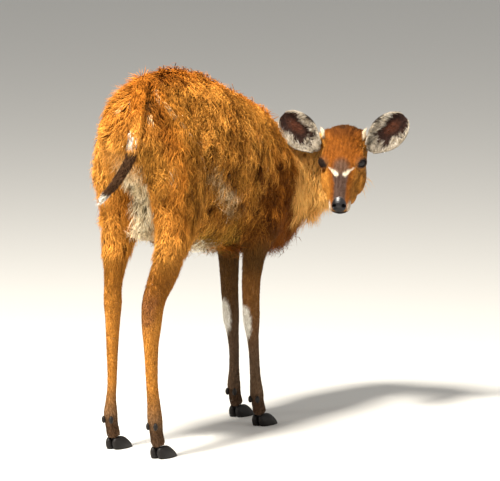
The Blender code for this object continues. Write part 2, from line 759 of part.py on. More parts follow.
def add_locks(parts, tips, roots, draw):
    """Roots each lock in the part under it, clear of the other parts, and joins it to its own."""
    pieces = list(bpy.data.objects)
    trees = {name: tree_of(parts[name]) for name in LOCKED}
    own = {name: [] for name in LOCKED}
    for place, normal in roots:
        own[min(LOCKED, key=lambda name: trees[name].find_nearest(place)[3])].append((place, normal))
    for name in LOCKED:
        near = []
        for piece in pieces:
            if piece.name != name:
                wider = grown(piece, LOCK_CLEAR)
                near.append(tree_of(wider))
                bpy.data.objects.remove(wider)
        group = bpy.data.collections.new("locks")
        for place, normal in own[name]:
            made = clear_lock(tips, near, place, normal, draw)
            if made:
                group.objects.link(made)
        union = parts[name].modifiers.new("locks", "BOOLEAN")
        union.operand_type = "COLLECTION"
        union.collection = group
        union.operation = "UNION"
        union.solver = "MANIFOLD"
        apply_modifiers(parts[name])
        for made in list(group.objects):
            bpy.data.objects.remove(made)
        bpy.data.collections.remove(group)
        keep_largest(parts[name])


def holds(bm, point):
    """Whether a point is inside a closed mesh."""
    tree = BVHTree.FromBMesh(bm)
    crossings = 0
    origin = Vector(point)
    ray = Vector((0.31, 0.17, 0.93)).normalized()
    while True:
        hit = tree.ray_cast(origin, ray)[0]
        if hit is None:
            return crossings % 2 == 1
        crossings += 1
        origin = hit + ray * 1e-5


def part_off(whole, seeds):
    """Makes one object of each closed surface that holds a seed, and drops the scraps."""
    bm = bmesh.new()
    bm.from_mesh(whole.data)
    found = bodies(bm)
    for number, body in enumerate(found):
        for face in body:
            face.material_index = number
    parts = {}
    for number in range(len(found)):
        one = bm.copy()
        bmesh.ops.delete(one, geom=[f for f in one.faces if f.material_index != number], context="FACES")
        for face in one.faces:
            face.material_index = 0
        name = next((name for name, seed in seeds.items() if name not in parts and holds(one, seed)), None)
        if name:
            parts[name] = to_object(one, name)
        else:
            one.free()
    bm.free()
    bpy.data.objects.remove(whole)
    return parts


def centre_over_origin():
    """Moves all parts so that the middle of the box's floor is the origin."""
    corners = [vert.co for piece in bpy.data.objects for vert in piece.data.vertices]
    low = Vector([min(corner[k] for corner in corners) for k in range(3)])
    high = Vector([max(corner[k] for corner in corners) for k in range(3)])
    move = Matrix.Translation(Vector((-(low.x + high.x) / 2, -(low.y + high.y) / 2, -low.z)))
    for piece in bpy.data.objects:
        piece.data.transform(move)


def main():
    for old in list(bpy.data.objects):
        bpy.data.objects.remove(old)
    bm = bmesh.new()
    for rows, side, up in rows_of_body():
        tube(bm, rows, side, up=up)
    body = to_object(bm, "body")
    remeshed(body, BODY_VOXEL, 5, BODY_TRIANGLES)
    tail(body)
    for leg in LEGS:
        outer = 1 if leg.endswith("left") else -1
        for word, side in (("outer", outer), ("inner", -outer)):
            claw(f"{leg}_claw_{word}", leg, side, body)
            dewclaw(f"{leg}_dewclaw_{word}", leg, side, body)
    draw = random.Random(LOCK_SEED)
    roots = roots_of_locks(body, draw)
    tips = BVHTree.FromObject(body, bpy.context.evaluated_depsgraph_get())
    core_of(body)
    boolean(body, head_solid(), "UNION")
    for word, side in (("right", 1), ("left", -1)):
        eye(f"eye_{word}", side)
        ear(f"ear_{word}", side, body)
    for cutter in cut_plates():
        boolean(body, cutter, "DIFFERENCE")
    parts = part_off(body, part_seeds())
    add_locks(parts, tips, roots, draw)
    centre_over_origin()


main()
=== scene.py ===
"""The looks of a life-size sitatunga calf that looks back over its right side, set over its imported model."""

import math

import bmesh
import bpy
import numpy as np
from mathutils import Matrix, Vector
from mathutils.bvhtree import BVHTree
from mathutils.kdtree import KDTree


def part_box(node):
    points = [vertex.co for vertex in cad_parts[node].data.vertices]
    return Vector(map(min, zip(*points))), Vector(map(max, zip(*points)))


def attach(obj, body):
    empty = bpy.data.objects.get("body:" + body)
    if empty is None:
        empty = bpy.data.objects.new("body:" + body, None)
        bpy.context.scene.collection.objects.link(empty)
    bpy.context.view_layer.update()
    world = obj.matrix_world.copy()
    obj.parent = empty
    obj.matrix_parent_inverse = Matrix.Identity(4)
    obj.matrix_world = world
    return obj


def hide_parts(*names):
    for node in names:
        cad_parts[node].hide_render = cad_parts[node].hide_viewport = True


# The frame and the calf's own words
# Places are written as (right, forward, up) in metres from the floor under the middle of the hind feet. The calf
# faces -Y, so its right is -X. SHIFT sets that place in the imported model's axes, from where its left eye is.
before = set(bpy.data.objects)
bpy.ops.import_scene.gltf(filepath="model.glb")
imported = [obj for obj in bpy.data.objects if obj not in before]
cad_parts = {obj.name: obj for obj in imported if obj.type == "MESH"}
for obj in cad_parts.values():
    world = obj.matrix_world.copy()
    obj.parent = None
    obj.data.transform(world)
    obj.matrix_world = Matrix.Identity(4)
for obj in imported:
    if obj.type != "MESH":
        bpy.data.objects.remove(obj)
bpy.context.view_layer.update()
HEAD_PLACE = (0.1536, 0.5292, 0.4974)
HEAD_TURN = math.radians(158)
HEAD_PITCH = math.radians(43)
EYE_SIDE = 0.0315
EYE_RADIUS = 0.0130


def at(right, forward, up):
    return Vector((-right, -forward, up))


def on_side(side, row):
    """A place or way of the head for its right side, 1, or its left, -1."""
    return Vector((side * row[0], row[1], row[2]))


ahead = at(math.sin(HEAD_TURN) * math.cos(HEAD_PITCH), math.cos(HEAD_TURN) * math.cos(HEAD_PITCH), 0)
ahead.z = -math.sin(HEAD_PITCH)
rightward = ahead.cross(Vector((0, 0, 1))).normalized()
HEAD_MATRIX = Matrix((rightward, ahead, rightward.cross(ahead))).transposed().to_4x4()
HEAD_MATRIX.translation = at(*HEAD_PLACE)
low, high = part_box("eye_left")
SHIFT = (low + high) / 2 - HEAD_MATRIX @ Vector((-EYE_SIDE, 0, 0))

TRUNK = (
    # forward, top, bottom, half width
    (-0.030, 0.590, 0.470, 0.034),
    (-0.014, 0.651, 0.430, 0.062),
    (0.020, 0.688, 0.405, 0.078),
    (0.080, 0.700, 0.385, 0.083),
    (0.130, 0.704, 0.372, 0.084),
    (0.200, 0.690, 0.360, 0.087),
    (0.280, 0.662, 0.350, 0.088),
    (0.360, 0.632, 0.338, 0.085),
    (0.440, 0.608, 0.328, 0.080),
    (0.500, 0.582, 0.326, 0.073),
    (0.556, 0.552, 0.324, 0.066),
    (0.598, 0.520, 0.332, 0.051),
    (0.622, 0.480, 0.354, 0.030),
)
NECK_START = 0.488
NECK_BEND_RADIUS = 0.110
NECK = (
    # degrees round the bend, middle height, half width, half depth with the hanging hair
    (-30, 0.472, 0.060, 0.116),
    (0, 0.466, 0.054, 0.108),
    (30, 0.463, 0.048, 0.098),
    (60, 0.470, 0.044, 0.084),
    (90, 0.486, 0.041, 0.066),
    (108, 0.500, 0.038, 0.054),
)
LEGS = {
    # right, forward, up, half width, half length from front to back
    "hind_right": (
        (0.035, 0.090, 0.640, 0.026, 0.050),
        (0.046, 0.078, 0.590, 0.038, 0.078),
        (0.052, 0.068, 0.530, 0.043, 0.090),
        (0.056, 0.068, 0.460, 0.038, 0.078),
        (0.060, 0.054, 0.415, 0.031, 0.059),
        (0.062, 0.032, 0.375, 0.0255, 0.045),
        (0.063, 0.010, 0.343, 0.0235, 0.040),
        (0.064, -0.022, 0.308, 0.0190, 0.033),
        (0.065, -0.036, 0.285, 0.0180, 0.031),
        (0.065, -0.040, 0.262, 0.0168, 0.028),
        (0.065, -0.042, 0.235, 0.0150, 0.024),
        (0.065, -0.043, 0.205, 0.0125, 0.0185),
        (0.065, -0.040, 0.139, 0.0108, 0.0152),
        (0.065, -0.034, 0.100, 0.0120, 0.0168),
        (0.065, -0.030, 0.072, 0.0145, 0.0172),
        (0.065, -0.025, 0.048, 0.0128, 0.0145),
        (0.065, -0.017, 0.024, 0.0150, 0.0155),
    ),
    "hind_left": (
        (-0.035, 0.088, 0.640, 0.026, 0.050),
        (-0.047, 0.072, 0.590, 0.038, 0.078),
        (-0.055, 0.063, 0.530, 0.043, 0.089),
        (-0.056, 0.065, 0.460, 0.038, 0.078),
        (-0.056, 0.050, 0.415, 0.031, 0.056),
        (-0.054, 0.034, 0.364, 0.0240, 0.038),
        (-0.053, 0.024, 0.320, 0.0172, 0.0265),
        (-0.054, 0.022, 0.296, 0.0155, 0.0235),
        (-0.055, 0.024, 0.2735, 0.0155, 0.0240),
        (-0.056, 0.0255, 0.245, 0.0135, 0.0195),
        (-0.057, 0.025, 0.194, 0.0112, 0.0155),
        (-0.059, 0.027, 0.126, 0.0092, 0.0118),
        (-0.060, 0.024, 0.090, 0.0104, 0.0135),
        (-0.060, 0.023, 0.068, 0.0135, 0.0162),
        (-0.060, 0.027, 0.046, 0.0124, 0.0140),
        (-0.060, 0.035, 0.024, 0.0148, 0.0152),
    ),
    "fore_right": (
        (0.048, 0.430, 0.500, 0.026, 0.060),
        (0.055, 0.410, 0.430, 0.030, 0.056),
        (0.059, 0.382, 0.380, 0.0285, 0.043),
        (0.059, 0.357, 0.342, 0.0230, 0.0315),
        (0.056, 0.350, 0.300, 0.0188, 0.0248),
        (0.054, 0.350, 0.270, 0.0170, 0.0222),
        (0.050, 0.358, 0.230, 0.0158, 0.0205),
        (0.048, 0.363, 0.208, 0.0158, 0.0200),
        (0.047, 0.369, 0.178, 0.0122, 0.0155),
        (0.047, 0.374, 0.148, 0.0105, 0.0135),
        (0.046, 0.381, 0.098, 0.0106, 0.0140),
        (0.046, 0.387, 0.064, 0.0136, 0.0164),
        (0.046, 0.392, 0.044, 0.0126, 0.0140),
        (0.046, 0.400, 0.024, 0.0148, 0.0152),
    ),
    "fore_left": (
        (-0.048, 0.466, 0.500, 0.026, 0.056),
        (-0.054, 0.464, 0.430, 0.030, 0.054),
        (-0.054, 0.455, 0.380, 0.0280, 0.042),
        (-0.051, 0.451, 0.330, 0.0220, 0.0298),
        (-0.049, 0.450, 0.290, 0.0184, 0.0240),
        (-0.048, 0.450, 0.250, 0.0166, 0.0210),
        (-0.047, 0.4525, 0.215, 0.0156, 0.0198),
        (-0.047, 0.4535, 0.197, 0.0156, 0.0198),
        (-0.046, 0.459, 0.165, 0.0120, 0.0152),
        (-0.045, 0.462, 0.132, 0.0102, 0.0132),
        (-0.045, 0.462, 0.092, 0.0104, 0.0136),
        (-0.045, 0.461, 0.062, 0.0134, 0.0162),
        (-0.045, 0.465, 0.043, 0.0126, 0.0140),
        (-0.045, 0.473, 0.024, 0.0148, 0.0152),
    ),
}
TAIL = (
    (0.010, 0.026, 0.688, 0.013, 0.012),
    (0.023, -0.012, 0.664, 0.015, 0.013),
    (0.030, -0.038, 0.612, 0.0165, 0.013),
    (0.030, -0.050, 0.560, 0.0160, 0.012),
    (0.011, -0.056, 0.520, 0.0135, 0.011),
    (-0.014, -0.058, 0.490, 0.0110, 0.009),
    (-0.033, -0.059, 0.469, 0.0055, 0.005),
)
HEAD = (
    # ahead, middle height, half width, half height
    (-0.090, -0.012, 0.016, 0.018),
    (-0.079, -0.012, 0.032, 0.034),
    (-0.058, -0.012, 0.041, 0.046),
    (-0.032, -0.014, 0.0440, 0.048),
    (-0.010, -0.017, 0.0415, 0.0445),
    (0.012, -0.019, 0.0360, 0.0385),
    (0.040, -0.020, 0.0290, 0.0315),
    (0.064, -0.021, 0.0232, 0.0255),
    (0.083, -0.021, 0.0218, 0.0215),
    (0.096, -0.022, 0.0205, 0.0180),
    (0.103, -0.023, 0.0140, 0.0125),
)


# Making shapes
# Tubes through stations, balls and remeshed skins: the calf's forms are rounded, with no flat panels.
def smooth_path(stations, steps):
    """The stations with others between them, on a Catmull-Rom curve through all their numbers."""
    rows = [Vector(row) for row in stations]
    rows = [2 * rows[0] - rows[1]] + rows + [2 * rows[-1] - rows[-2]]
    path = []
    for a, b, c, d in zip(rows, rows[1:], rows[2:], rows[3:]):
        for k in range(steps):
            t = k / steps
            square, cube = 2 * a - 5 * b + 4 * c - d, 3 * b - a - 3 * c + d
            path.append(0.5 * (2 * b + (c - a) * t + square * t**2 + cube * t**3))
    return path + [rows[-2]]


def tube(bm, stations, side, steps=4, sides=32, up=None):
    """An oval tube through (x, y, z, half width, half depth) rows. side is the direction of its width."""
    path = smooth_path(stations, steps)
    rings = []
    for k, row in enumerate(path):
        before, after = path[max(k - 1, 0)], path[min(k + 1, len(path) - 1)]
        along = Vector(after[:3]) - Vector(before[:3])
        along.normalize()
        across = along.cross(up) if up else side - along * side.dot(along)
        across.normalize()
        depth = along.cross(across)
        place = Matrix((across * row[3], depth * row[4], along)).transposed().to_4x4()
        place.translation = Vector(row[:3])
        ends = k in (0, len(path) - 1)
        ring = bmesh.ops.create_circle(bm, cap_ends=ends, segments=sides, radius=1, matrix=place)["verts"]
        rings.append({edge for vert in ring for edge in vert.link_edges if edge.other_vert(vert) in ring})
    for first, second in zip(rings, rings[1:]):
        bmesh.ops.bridge_loops(bm, edges=list(first | second))
    bmesh.ops.recalc_face_normals(bm, faces=bm.faces)


def ball(bm, centre, radii, matrix=None, fine=4):
    place = (matrix or Matrix()) @ Matrix.Translation(Vector(centre)) @ Matrix.Diagonal((*radii, 1))
    bmesh.ops.create_icosphere(bm, subdivisions=fine, radius=1, matrix=place)


def in_scene(name, data):
    made = bpy.data.objects.new(name, data)
    bpy.context.scene.collection.objects.link(made)
    return made


def to_object(bm, name):
    mesh = bpy.data.meshes.new(name)
    bm.to_mesh(mesh)
    bm.free()
    return in_scene(name, mesh)


def apply_modifiers(piece):
    graph = bpy.context.evaluated_depsgraph_get()
    mesh = bpy.data.meshes.new_from_object(piece.evaluated_get(graph))
    piece.modifiers.clear()
    old, piece.data = piece.data, mesh
    bpy.data.meshes.remove(old)


def remeshed(piece, voxel, smoothing):
    remesh = piece.modifiers.new("remesh", "REMESH")
    remesh.mode = "VOXEL"
    remesh.voxel_size = voxel
    smooth = piece.modifiers.new("smooth", "SMOOTH")
    smooth.factor = 0.5
    smooth.iterations = smoothing
    apply_modifiers(piece)


def boolean(piece, other, operation, solver="MANIFOLD"):
    cut = piece.modifiers.new("boolean", "BOOLEAN")
    cut.operation = operation
    cut.solver = solver
    cut.object = other
    apply_modifiers(piece)
    bpy.data.objects.remove(other)


def vectors_of(mesh, word):
    """The places, "co", or the normals, "normal", of a mesh's vertices."""
    values = np.empty(len(mesh.vertices) * 3, np.float32)
    mesh.vertices.foreach_get(word, values)
    return values.reshape(-1, 3).astype(float)


def tree_of(piece):
    faces = [tuple(face.vertices) for face in piece.data.polygons]
    return BVHTree.FromPolygons([tuple(point) for point in vectors_of(piece.data, "co")], faces)


def on_piece(tree, points, gap=0.0012):
    """Which of the places lie on a piece's surface."""
    return np.array([tree.find_nearest(point, gap)[0] is not None for point in points])


def ramp(value, start, end):
    """0 up to start and 1 from end on, with a soft change between."""
    t = np.clip((value - start) / (end - start), 0, 1)
    return t * t * (3 - 2 * t)


def fall(value, start, end):
    """1 up to start and 0 from end on."""
    return 1 - ramp(value, start, end)


def unit(vectors):
    return vectors / np.maximum(np.linalg.norm(vectors, axis=1), 1e-9)[:, None]


def tangent(way, normal):
    """The ways laid flat on the surface."""
    return unit(way - normal * (way * normal).sum(1)[:, None])


def across_head(head):
    """The head's places with its left half laid over its right."""
    return np.stack([np.abs(head[:, 0]), head[:, 1], head[:, 2]], axis=1)


def wobble(points, size, seed):
    """A smooth noise from -1 to 1 whose waves are about this long in metres."""
    rng = np.random.default_rng(seed)
    total = 0
    for _ in range(6):
        way = rng.normal(size=3)
        along = points @ (way / np.linalg.norm(way))
        total = total + np.sin(along * (2 * np.pi / size) + rng.uniform(0, 6.3))
    return np.clip(total / 2.6, -1, 1)


HEAD_INVERSE = np.array(HEAD_MATRIX.inverted())
HEAD_AXES = np.array(HEAD_MATRIX)[:3, :3]


def words(points):
    """Scene places as right, forward and up, and as right, ahead and above of the head."""
    own = points - np.array(SHIFT)
    head = own @ HEAD_INVERSE[:3, :3].T + HEAD_INVERSE[:3, 3]
    return -own[:, 0], -own[:, 1], own[:, 2], head


def by_leg(points):
    """How near a place is to a leg, as 1 on its surface and 0 on its axis, and the number of the nearest leg."""
    right, forward, up, _ = words(points)
    near = []
    for rows in LEGS.values():
        table = np.array(rows)[::-1]
        height = table[:, 2]
        middle = [np.interp(up, height, table[:, k]) for k in (0, 1, 3, 4)]
        apart = np.hypot((right - middle[0]) / middle[2], (forward - middle[1]) / middle[3])
        near.append(np.where(up < height[-1], apart, 9))
    near = np.array(near)
    return near.min(0), near.argmin(0)


def coat_share(points):
    """1 where the coat has its full depth, down to 0 on the lower legs and the head."""
    _, _, up, head = words(points)
    apart, _ = by_leg(points)
    on_leg = fall(apart, 1.3, 1.9) * (up < 0.48)
    share = 1 - on_leg * fall(up, 0.25, 0.50)
    return share * (1 - near_head(head))


def near_head(head):
    """1 on the head and 0 a little way down the neck."""
    return by_line(head, (0, -0.045, -0.008), (0, 0.085, -0.020), 0.048, 0.068)


def near_line(points, start, end):
    """Distance of each point from a straight line between two places."""
    a, b = np.array(start), np.array(end)
    t = np.clip((points - a) @ (b - a) / ((b - a) @ (b - a)), 0, 1)
    return np.linalg.norm(points - a - t[:, None] * (b - a), axis=1)


def by_line(points, start, end, inner, outer):
    """1 up to the inner distance from a straight line and 0 from the outer one on."""
    return fall(near_line(points, start, end), inner, outer)


# The skin
# One skin covers all the flesh, so that no seam shows between the parts. It lies under the coat: well inside it on
# the trunk and neck, where the hair is long, and just inside it on the legs and head.
SKIN_DEPTH = 0.0135
SKIN_DEPTH_SHORT = 0.0012
EAR_PRESS = 0.006
EAR_ROOT = (0.0515, -0.036, 0.001)
EAR_ALONG = (0.735, -0.40, 0.55)
EAR_LENGTH = 0.089


def by_ear(points):
    """1 beside an ear, where the body's coat is pressed flat under it, and 0 some way off."""
    _, _, _, head = words(points)
    root, along = np.array(EAR_ROOT), np.array(EAR_ALONG)
    return by_line(across_head(head), root + along * 0.02, root + along * 0.085, 0.032, 0.050)


bm = bmesh.new()
sideways = at(1, 0, 0)
tube(bm, [(*at(0, f, (top + under) / 2), wide, (top - under) / 2) for f, top, under, wide in TRUNK], sideways)
neck_rows = []
for degrees, height, wide, deep in NECK:
    angle = math.radians(degrees)
    straight = min(angle, 0) * NECK_BEND_RADIUS
    bend = max(angle, 0)
    forward = NECK_START + straight + NECK_BEND_RADIUS * math.sin(bend)
    neck_rows.append((*at(NECK_BEND_RADIUS * (1 - math.cos(bend)), forward, height), wide, deep))
tube(bm, neck_rows, None, up=Vector((0, 0, 1)))
for rows in LEGS.values():
    tube(bm, [(*at(*row[:3]), row[3], row[4]) for row in rows], sideways)
skin = to_object(bm, "skin")
remeshed(skin, 0.0042, 9)
skin.data.transform(Matrix.Translation(SHIFT))
points = vectors_of(skin.data, "co")
share = coat_share(points)
depth = SKIN_DEPTH_SHORT + (SKIN_DEPTH - SKIN_DEPTH_SHORT) * share + EAR_PRESS * by_ear(points)
points -= vectors_of(skin.data, "normal") * depth[:, None]
skin.data.vertices.foreach_set("co", points.astype(np.float32).ravel())

bm = bmesh.new()
thin = np.interp([row[2] for row in TAIL], (0.50, 0.56, 0.61), (0.38, 0.42, 0.62))
tube(bm, [(*at(*row[:3]), row[3] * part, row[4] * part) for row, part in zip(TAIL, thin)], sideways)
tail = to_object(bm, "tail_skin")
remeshed(tail, 0.0025, 3)
tail.data.transform(Matrix.Translation(SHIFT))
tail_tree = tree_of(tail)
boolean(skin, tail, "UNION")

# The head
# Skin over bone: a broad forehead, full cheeks and a short muzzle, with lids round the eyes, lips, a mouth and
# nostrils in a bare, wet nose pad.
EYE_LOOK = (0.60, 0.66, 0.42)
EYE_SLIT = (0.60, 0.75, 0.0)
EYE_COVER = 0.0017
LID_THICKNESS = 0.0019
LID_OPEN = (0.92, 0.62)
LID_CUT = (0.74, 0.78, 0.75)
HAIR_DEPTH = 0.0012
NOSTRIL = (0.0052, 0.0085, 0.0032)
NOSTRIL_PLACE = (0.0092, 0.1010, -0.0115)
NOSTRIL_LEAN = math.radians(40)
BONES = (
    # the right half's swellings: (right, ahead, up), then the radii
    ((0.0255, -0.012, 0.006), (0.0150, 0.0230, 0.0125)),
    ((0.0275, -0.004, -0.014), (0.0112, 0.0230, 0.0082)),
    ((0.0260, 0.004, -0.035), (0.0170, 0.0440, 0.0225)),
    ((0.0170, 0.046, -0.033), (0.0122, 0.0290, 0.0155)),
    ((0.0110, 0.090, -0.0195), (0.0092, 0.0118, 0.0120)),
    ((0.0330, -0.044, 0.002), (0.0130, 0.0160, 0.0160)),
    ((0.0270, -0.050, 0.015), (0.0130, 0.0150, 0.0150)),
)
bm = bmesh.new()
rows = [(0, y, z, wide - HAIR_DEPTH, high - HAIR_DEPTH) for y, z, wide, high in HEAD]
tube(bm, rows, Vector((1, 0, 0)), steps=5, sides=48)
for side in (1, -1):
    for centre, radii in BONES:
        ball(bm, on_side(side, centre), radii)
ball(bm, (0, 0.076, -0.0370), (0.0145, 0.0205, 0.0075))
head = to_object(bm, "head_skin")
remeshed(head, 0.0014, 16)
for vert in head.data.vertices:
    vert.co.z = min(vert.co.z, 0.021) + max(vert.co.z - 0.021, 0) * 0.72
    vert.co.y = max(vert.co.y, -0.056) + min(vert.co.y + 0.056, 0) * 0.68
eye_ways = {}
for side in (1, -1):
    look = on_side(side, EYE_LOOK).normalized()
    front = on_side(-side, EYE_SLIT)
    front = (front - look * front.dot(look)).normalized()
    above = look.cross(front) * -side
    eye_ways[side] = (look, front, above)
    centre = Vector((side * EYE_SIDE, 0, 0))
    bm = bmesh.new()
    ball(bm, centre, [EYE_RADIUS + EYE_COVER] * 3)
    boolean(head, to_object(bm, "cover"), "UNION")
    rim = []
    for k in range(33):
        angle = 2 * math.pi * k / 32
        way = look + front * LID_OPEN[0] * math.cos(angle) + above * LID_OPEN[1] * math.sin(angle)
        rim.append((*(centre + way.normalized() * EYE_RADIUS), LID_THICKNESS, LID_THICKNESS))
    bm = bmesh.new()
    tube(bm, rim, above, steps=1, sides=10)
    lid = to_object(bm, "lid")
    remeshed(lid, 0.0007, 2)
    boolean(head, lid, "UNION")
    bm = bmesh.new()
    turn = Matrix((front, above, look)).transposed().to_4x4()
    turn.translation = centre + look * EYE_RADIUS * 1.05
    opening = (LID_OPEN[0] * LID_CUT[0], LID_OPEN[1] * LID_CUT[1], LID_CUT[2])
    ball(bm, (0, 0, 0), [EYE_RADIUS * part for part in opening], turn)
    boolean(head, to_object(bm, "opening"), "DIFFERENCE")
    bm = bmesh.new()
    ball(bm, centre, [EYE_RADIUS + 0.0002] * 3)
    boolean(head, to_object(bm, "socket"), "DIFFERENCE")
    bm = bmesh.new()
    leaning = Matrix.Rotation(side * NOSTRIL_LEAN, 4, "Y")
    ball(bm, (0, 0, 0), NOSTRIL, Matrix.Translation(on_side(side, NOSTRIL_PLACE)) @ leaning)
    boolean(head, to_object(bm, "nostril"), "DIFFERENCE")
bm = bmesh.new()
rows = []
for k in range(-12, 13):
    turn = k / 12 * math.pi / 2
    across, ahead_of = math.sin(turn), math.cos(turn)
    rows.append((0.0255 * across, 0.060 + 0.0445 * ahead_of, -0.0325 + 0.001 * ahead_of, 0.0055, 0.0007))
tube(bm, rows, None, steps=1, sides=12, up=Vector((0, 0, 1)))
boolean(head, to_object(bm, "mouth"), "DIFFERENCE")
head.data.transform(Matrix.Translation(SHIFT) @ HEAD_MATRIX)
head_tree = tree_of(head)
boolean(skin, head, "UNION")

# The ears
# Thin, soft shells of skin, cupped forward, rolled at the root and set on the sides of the skull.
EAR_CUP = (0.12, 0.62, 0.74)
EAR_HALF_WIDTH = 0.0325
EAR_CUP_DEPTH = 0.017
EAR_WIDEST = 0.52
EAR_ROOT_WIDTH = 0.34
ear_frames = {}
ear_trees = {}
for side, word in ((1, "right"), (-1, "left")):
    along = on_side(side, EAR_ALONG).normalized()
    cup = on_side(side, EAR_CUP)
    cup = (cup - along * cup.dot(along)).normalized()
    across = along.cross(cup)
    root = on_side(side, EAR_ROOT)
    ear_frames[side] = (root, along, cup, across)
    bm = bmesh.new()
    bmesh.ops.create_grid(bm, x_segments=24, y_segments=36, size=1)
    for vert in bm.verts:
        turn = vert.co.x
        way = math.sin(math.pi / 2 * (vert.co.y + 1) / 2)
        if way < EAR_WIDEST:
            rising = math.sin(math.pi / 2 * way / EAR_WIDEST)
            half = EAR_HALF_WIDTH * (EAR_ROOT_WIDTH + (1 - EAR_ROOT_WIDTH) * rising)
        else:
            half = EAR_HALF_WIDTH * math.sqrt(1 - ((way - EAR_WIDEST) / (1.02 - EAR_WIDEST)) ** 2)
        bend = math.radians(100 - 45 * min(1, way * 1.6))
        wide = half * math.sin(bend * turn) / math.sin(min(bend, math.pi / 2))
        deep = EAR_CUP_DEPTH * (1 - way**3) * (1 - math.cos(bend * turn)) * (0.6 + 0.4 * (1 - way))
        vert.co = root + along * EAR_LENGTH * way + across * wide + cup * deep
    ear = to_object(bm, "ear_" + word + "_skin")
    wall = ear.modifiers.new("wall", "SOLIDIFY")
    wall.thickness = 0.0024
    wall.offset = 0
    apply_modifiers(ear)
    bm = bmesh.new()
    bm.from_mesh(ear.data)
    bmesh.ops.recalc_face_normals(bm, faces=bm.faces)
    bm.to_mesh(ear.data)
    bm.free()
    bm = bmesh.new()
    ball(bm, root + along * 0.004 - cup * 0.004, (0.0125, 0.0125, 0.0125))
    boolean(ear, to_object(bm, "stem"), "UNION")
    ear.data.transform(Matrix.Translation(SHIFT) @ HEAD_MATRIX)
    ear_trees[side] = tree_of(ear)
    boolean(skin, ear, "UNION")
for polygon in skin.data.polygons:
    polygon.use_smooth = True

# The markings
# Colour of the coat at each place: orange-brown, darker and redder on the shoulders, golden on the rump and throat,
# cream inside the thighs, dark on the lower legs, with a pale chevron between the eyes. Painted light and shade lie
# over it: the throat is brightened as painted sunlight, and painted shade darkens the belly to olive, the low
# chest, the forelegs, the back of the thigh, the tail's edge, the muzzle's sides, the ring round each eye and the
# coat's folds.
ORANGE = (0.46, 0.150, 0.014)
GOLDEN = (0.88, 0.40, 0.070)
TAN = (0.44, 0.185, 0.026)
RED_BROWN = (0.19, 0.052, 0.004)
RUMP_TOP = (0.32, 0.092, 0.007)
BELLY_SHADE_OLIVE = (0.090, 0.058, 0.005)
DARK_BROWN = (0.060, 0.028, 0.012)
CREAM = (0.66, 0.54, 0.32)
WHITE = (0.86, 0.82, 0.72)
GREY_BROWN = (0.115, 0.070, 0.040)
NOSE_BLACK = (0.012, 0.011, 0.012)
FOREHEAD = (0.27, 0.082, 0.009)
CHEEK = (0.46, 0.190, 0.030)
LOW_CHEST_AND_SHADE = (0.13, 0.034, 0.003)
DARK_TUFT = (0.10, 0.030, 0.004)
BACK_THIGH_SHADE = (0.34, 0.140, 0.018)
INNER_THIGH = (0.88, 0.76, 0.50)
FORELEG_AND_SHADE = (0.095, 0.041, 0.008)
FORELEG_LESS_SHADE = (0.10, 0.036, 0.006)
HINDLEG = (0.50, 0.200, 0.027)
UPPER_HINDLEG = (0.27, 0.095, 0.012)
HOCK = (0.17, 0.060, 0.022)
THROAT_AND_LIGHT = (0.97, 0.50, 0.125)
CROWN = (0.15, 0.045, 0.008)
FOREHEAD_GREY = (0.12, 0.078, 0.055)
BRIDGE = (0.075, 0.048, 0.038)
CHEVRON = (0.84, 0.74, 0.56)
EYE_SHADE = (0.16, 0.066, 0.022)
LID = (0.016, 0.010, 0.008)
FACE_MARK = (0.80, 0.66, 0.45)
LIPS = (0.72, 0.62, 0.48)
EAR_DARK = (0.028, 0.012, 0.008)
EAR_WARM = (0.24, 0.070, 0.028)
EAR_PALE = (0.50, 0.43, 0.33)
EAR_RIM = (0.025, 0.016, 0.012)
PALE = {"strand": (0.80, 0.50, 0.24), "tuft": (0.62, 0.49, 0.33)}
FOLD_LIGHT_AND_SHADE = (
    # Painted light and shade of the coat's folds, as lighter and darker bands down the flank: two ends as
    # (right * 0.4, forward, up), how strong, colour
    ((0.035, 0.131, 0.600), (0.035, 0.135, 0.520), 0.6, GOLDEN),
    ((0.035, 0.189, 0.580), (0.035, 0.185, 0.470), 0.6, GOLDEN),
    ((0.035, 0.240, 0.610), (0.035, 0.248, 0.480), 0.65, (0.12, 0.036, 0.004)),
    ((0.035, 0.302, 0.580), (0.034, 0.290, 0.490), 0.6, GOLDEN),
    ((0.034, 0.350, 0.540), (0.032, 0.335, 0.430), 0.65, (0.10, 0.028, 0.003)),
    ((0.030, 0.080, 0.560), (0.032, 0.095, 0.430), 0.45, (0.20, 0.070, 0.008)),
)


def lay(under, over, share):
    """Lays a colour over the colours at each place, by its share there."""
    under += (np.array(over) - under) * np.clip(share, 0, 1)[:, None]
    return under


def spot(head, centre, radii, edge=0.35):
    """1 inside an oval of the head and 0 outside it."""
    apart = np.linalg.norm((head - np.array(centre)) / np.array(radii), axis=1)
    return fall(apart, 1 - edge, 1 + edge)


def middle_of(leg, up, column):
    """A leg's middle at each height: how far right, or how far forward."""
    table = np.array(LEGS[leg])[::-1]
    return np.interp(up, table[:, 2], table[:, column])


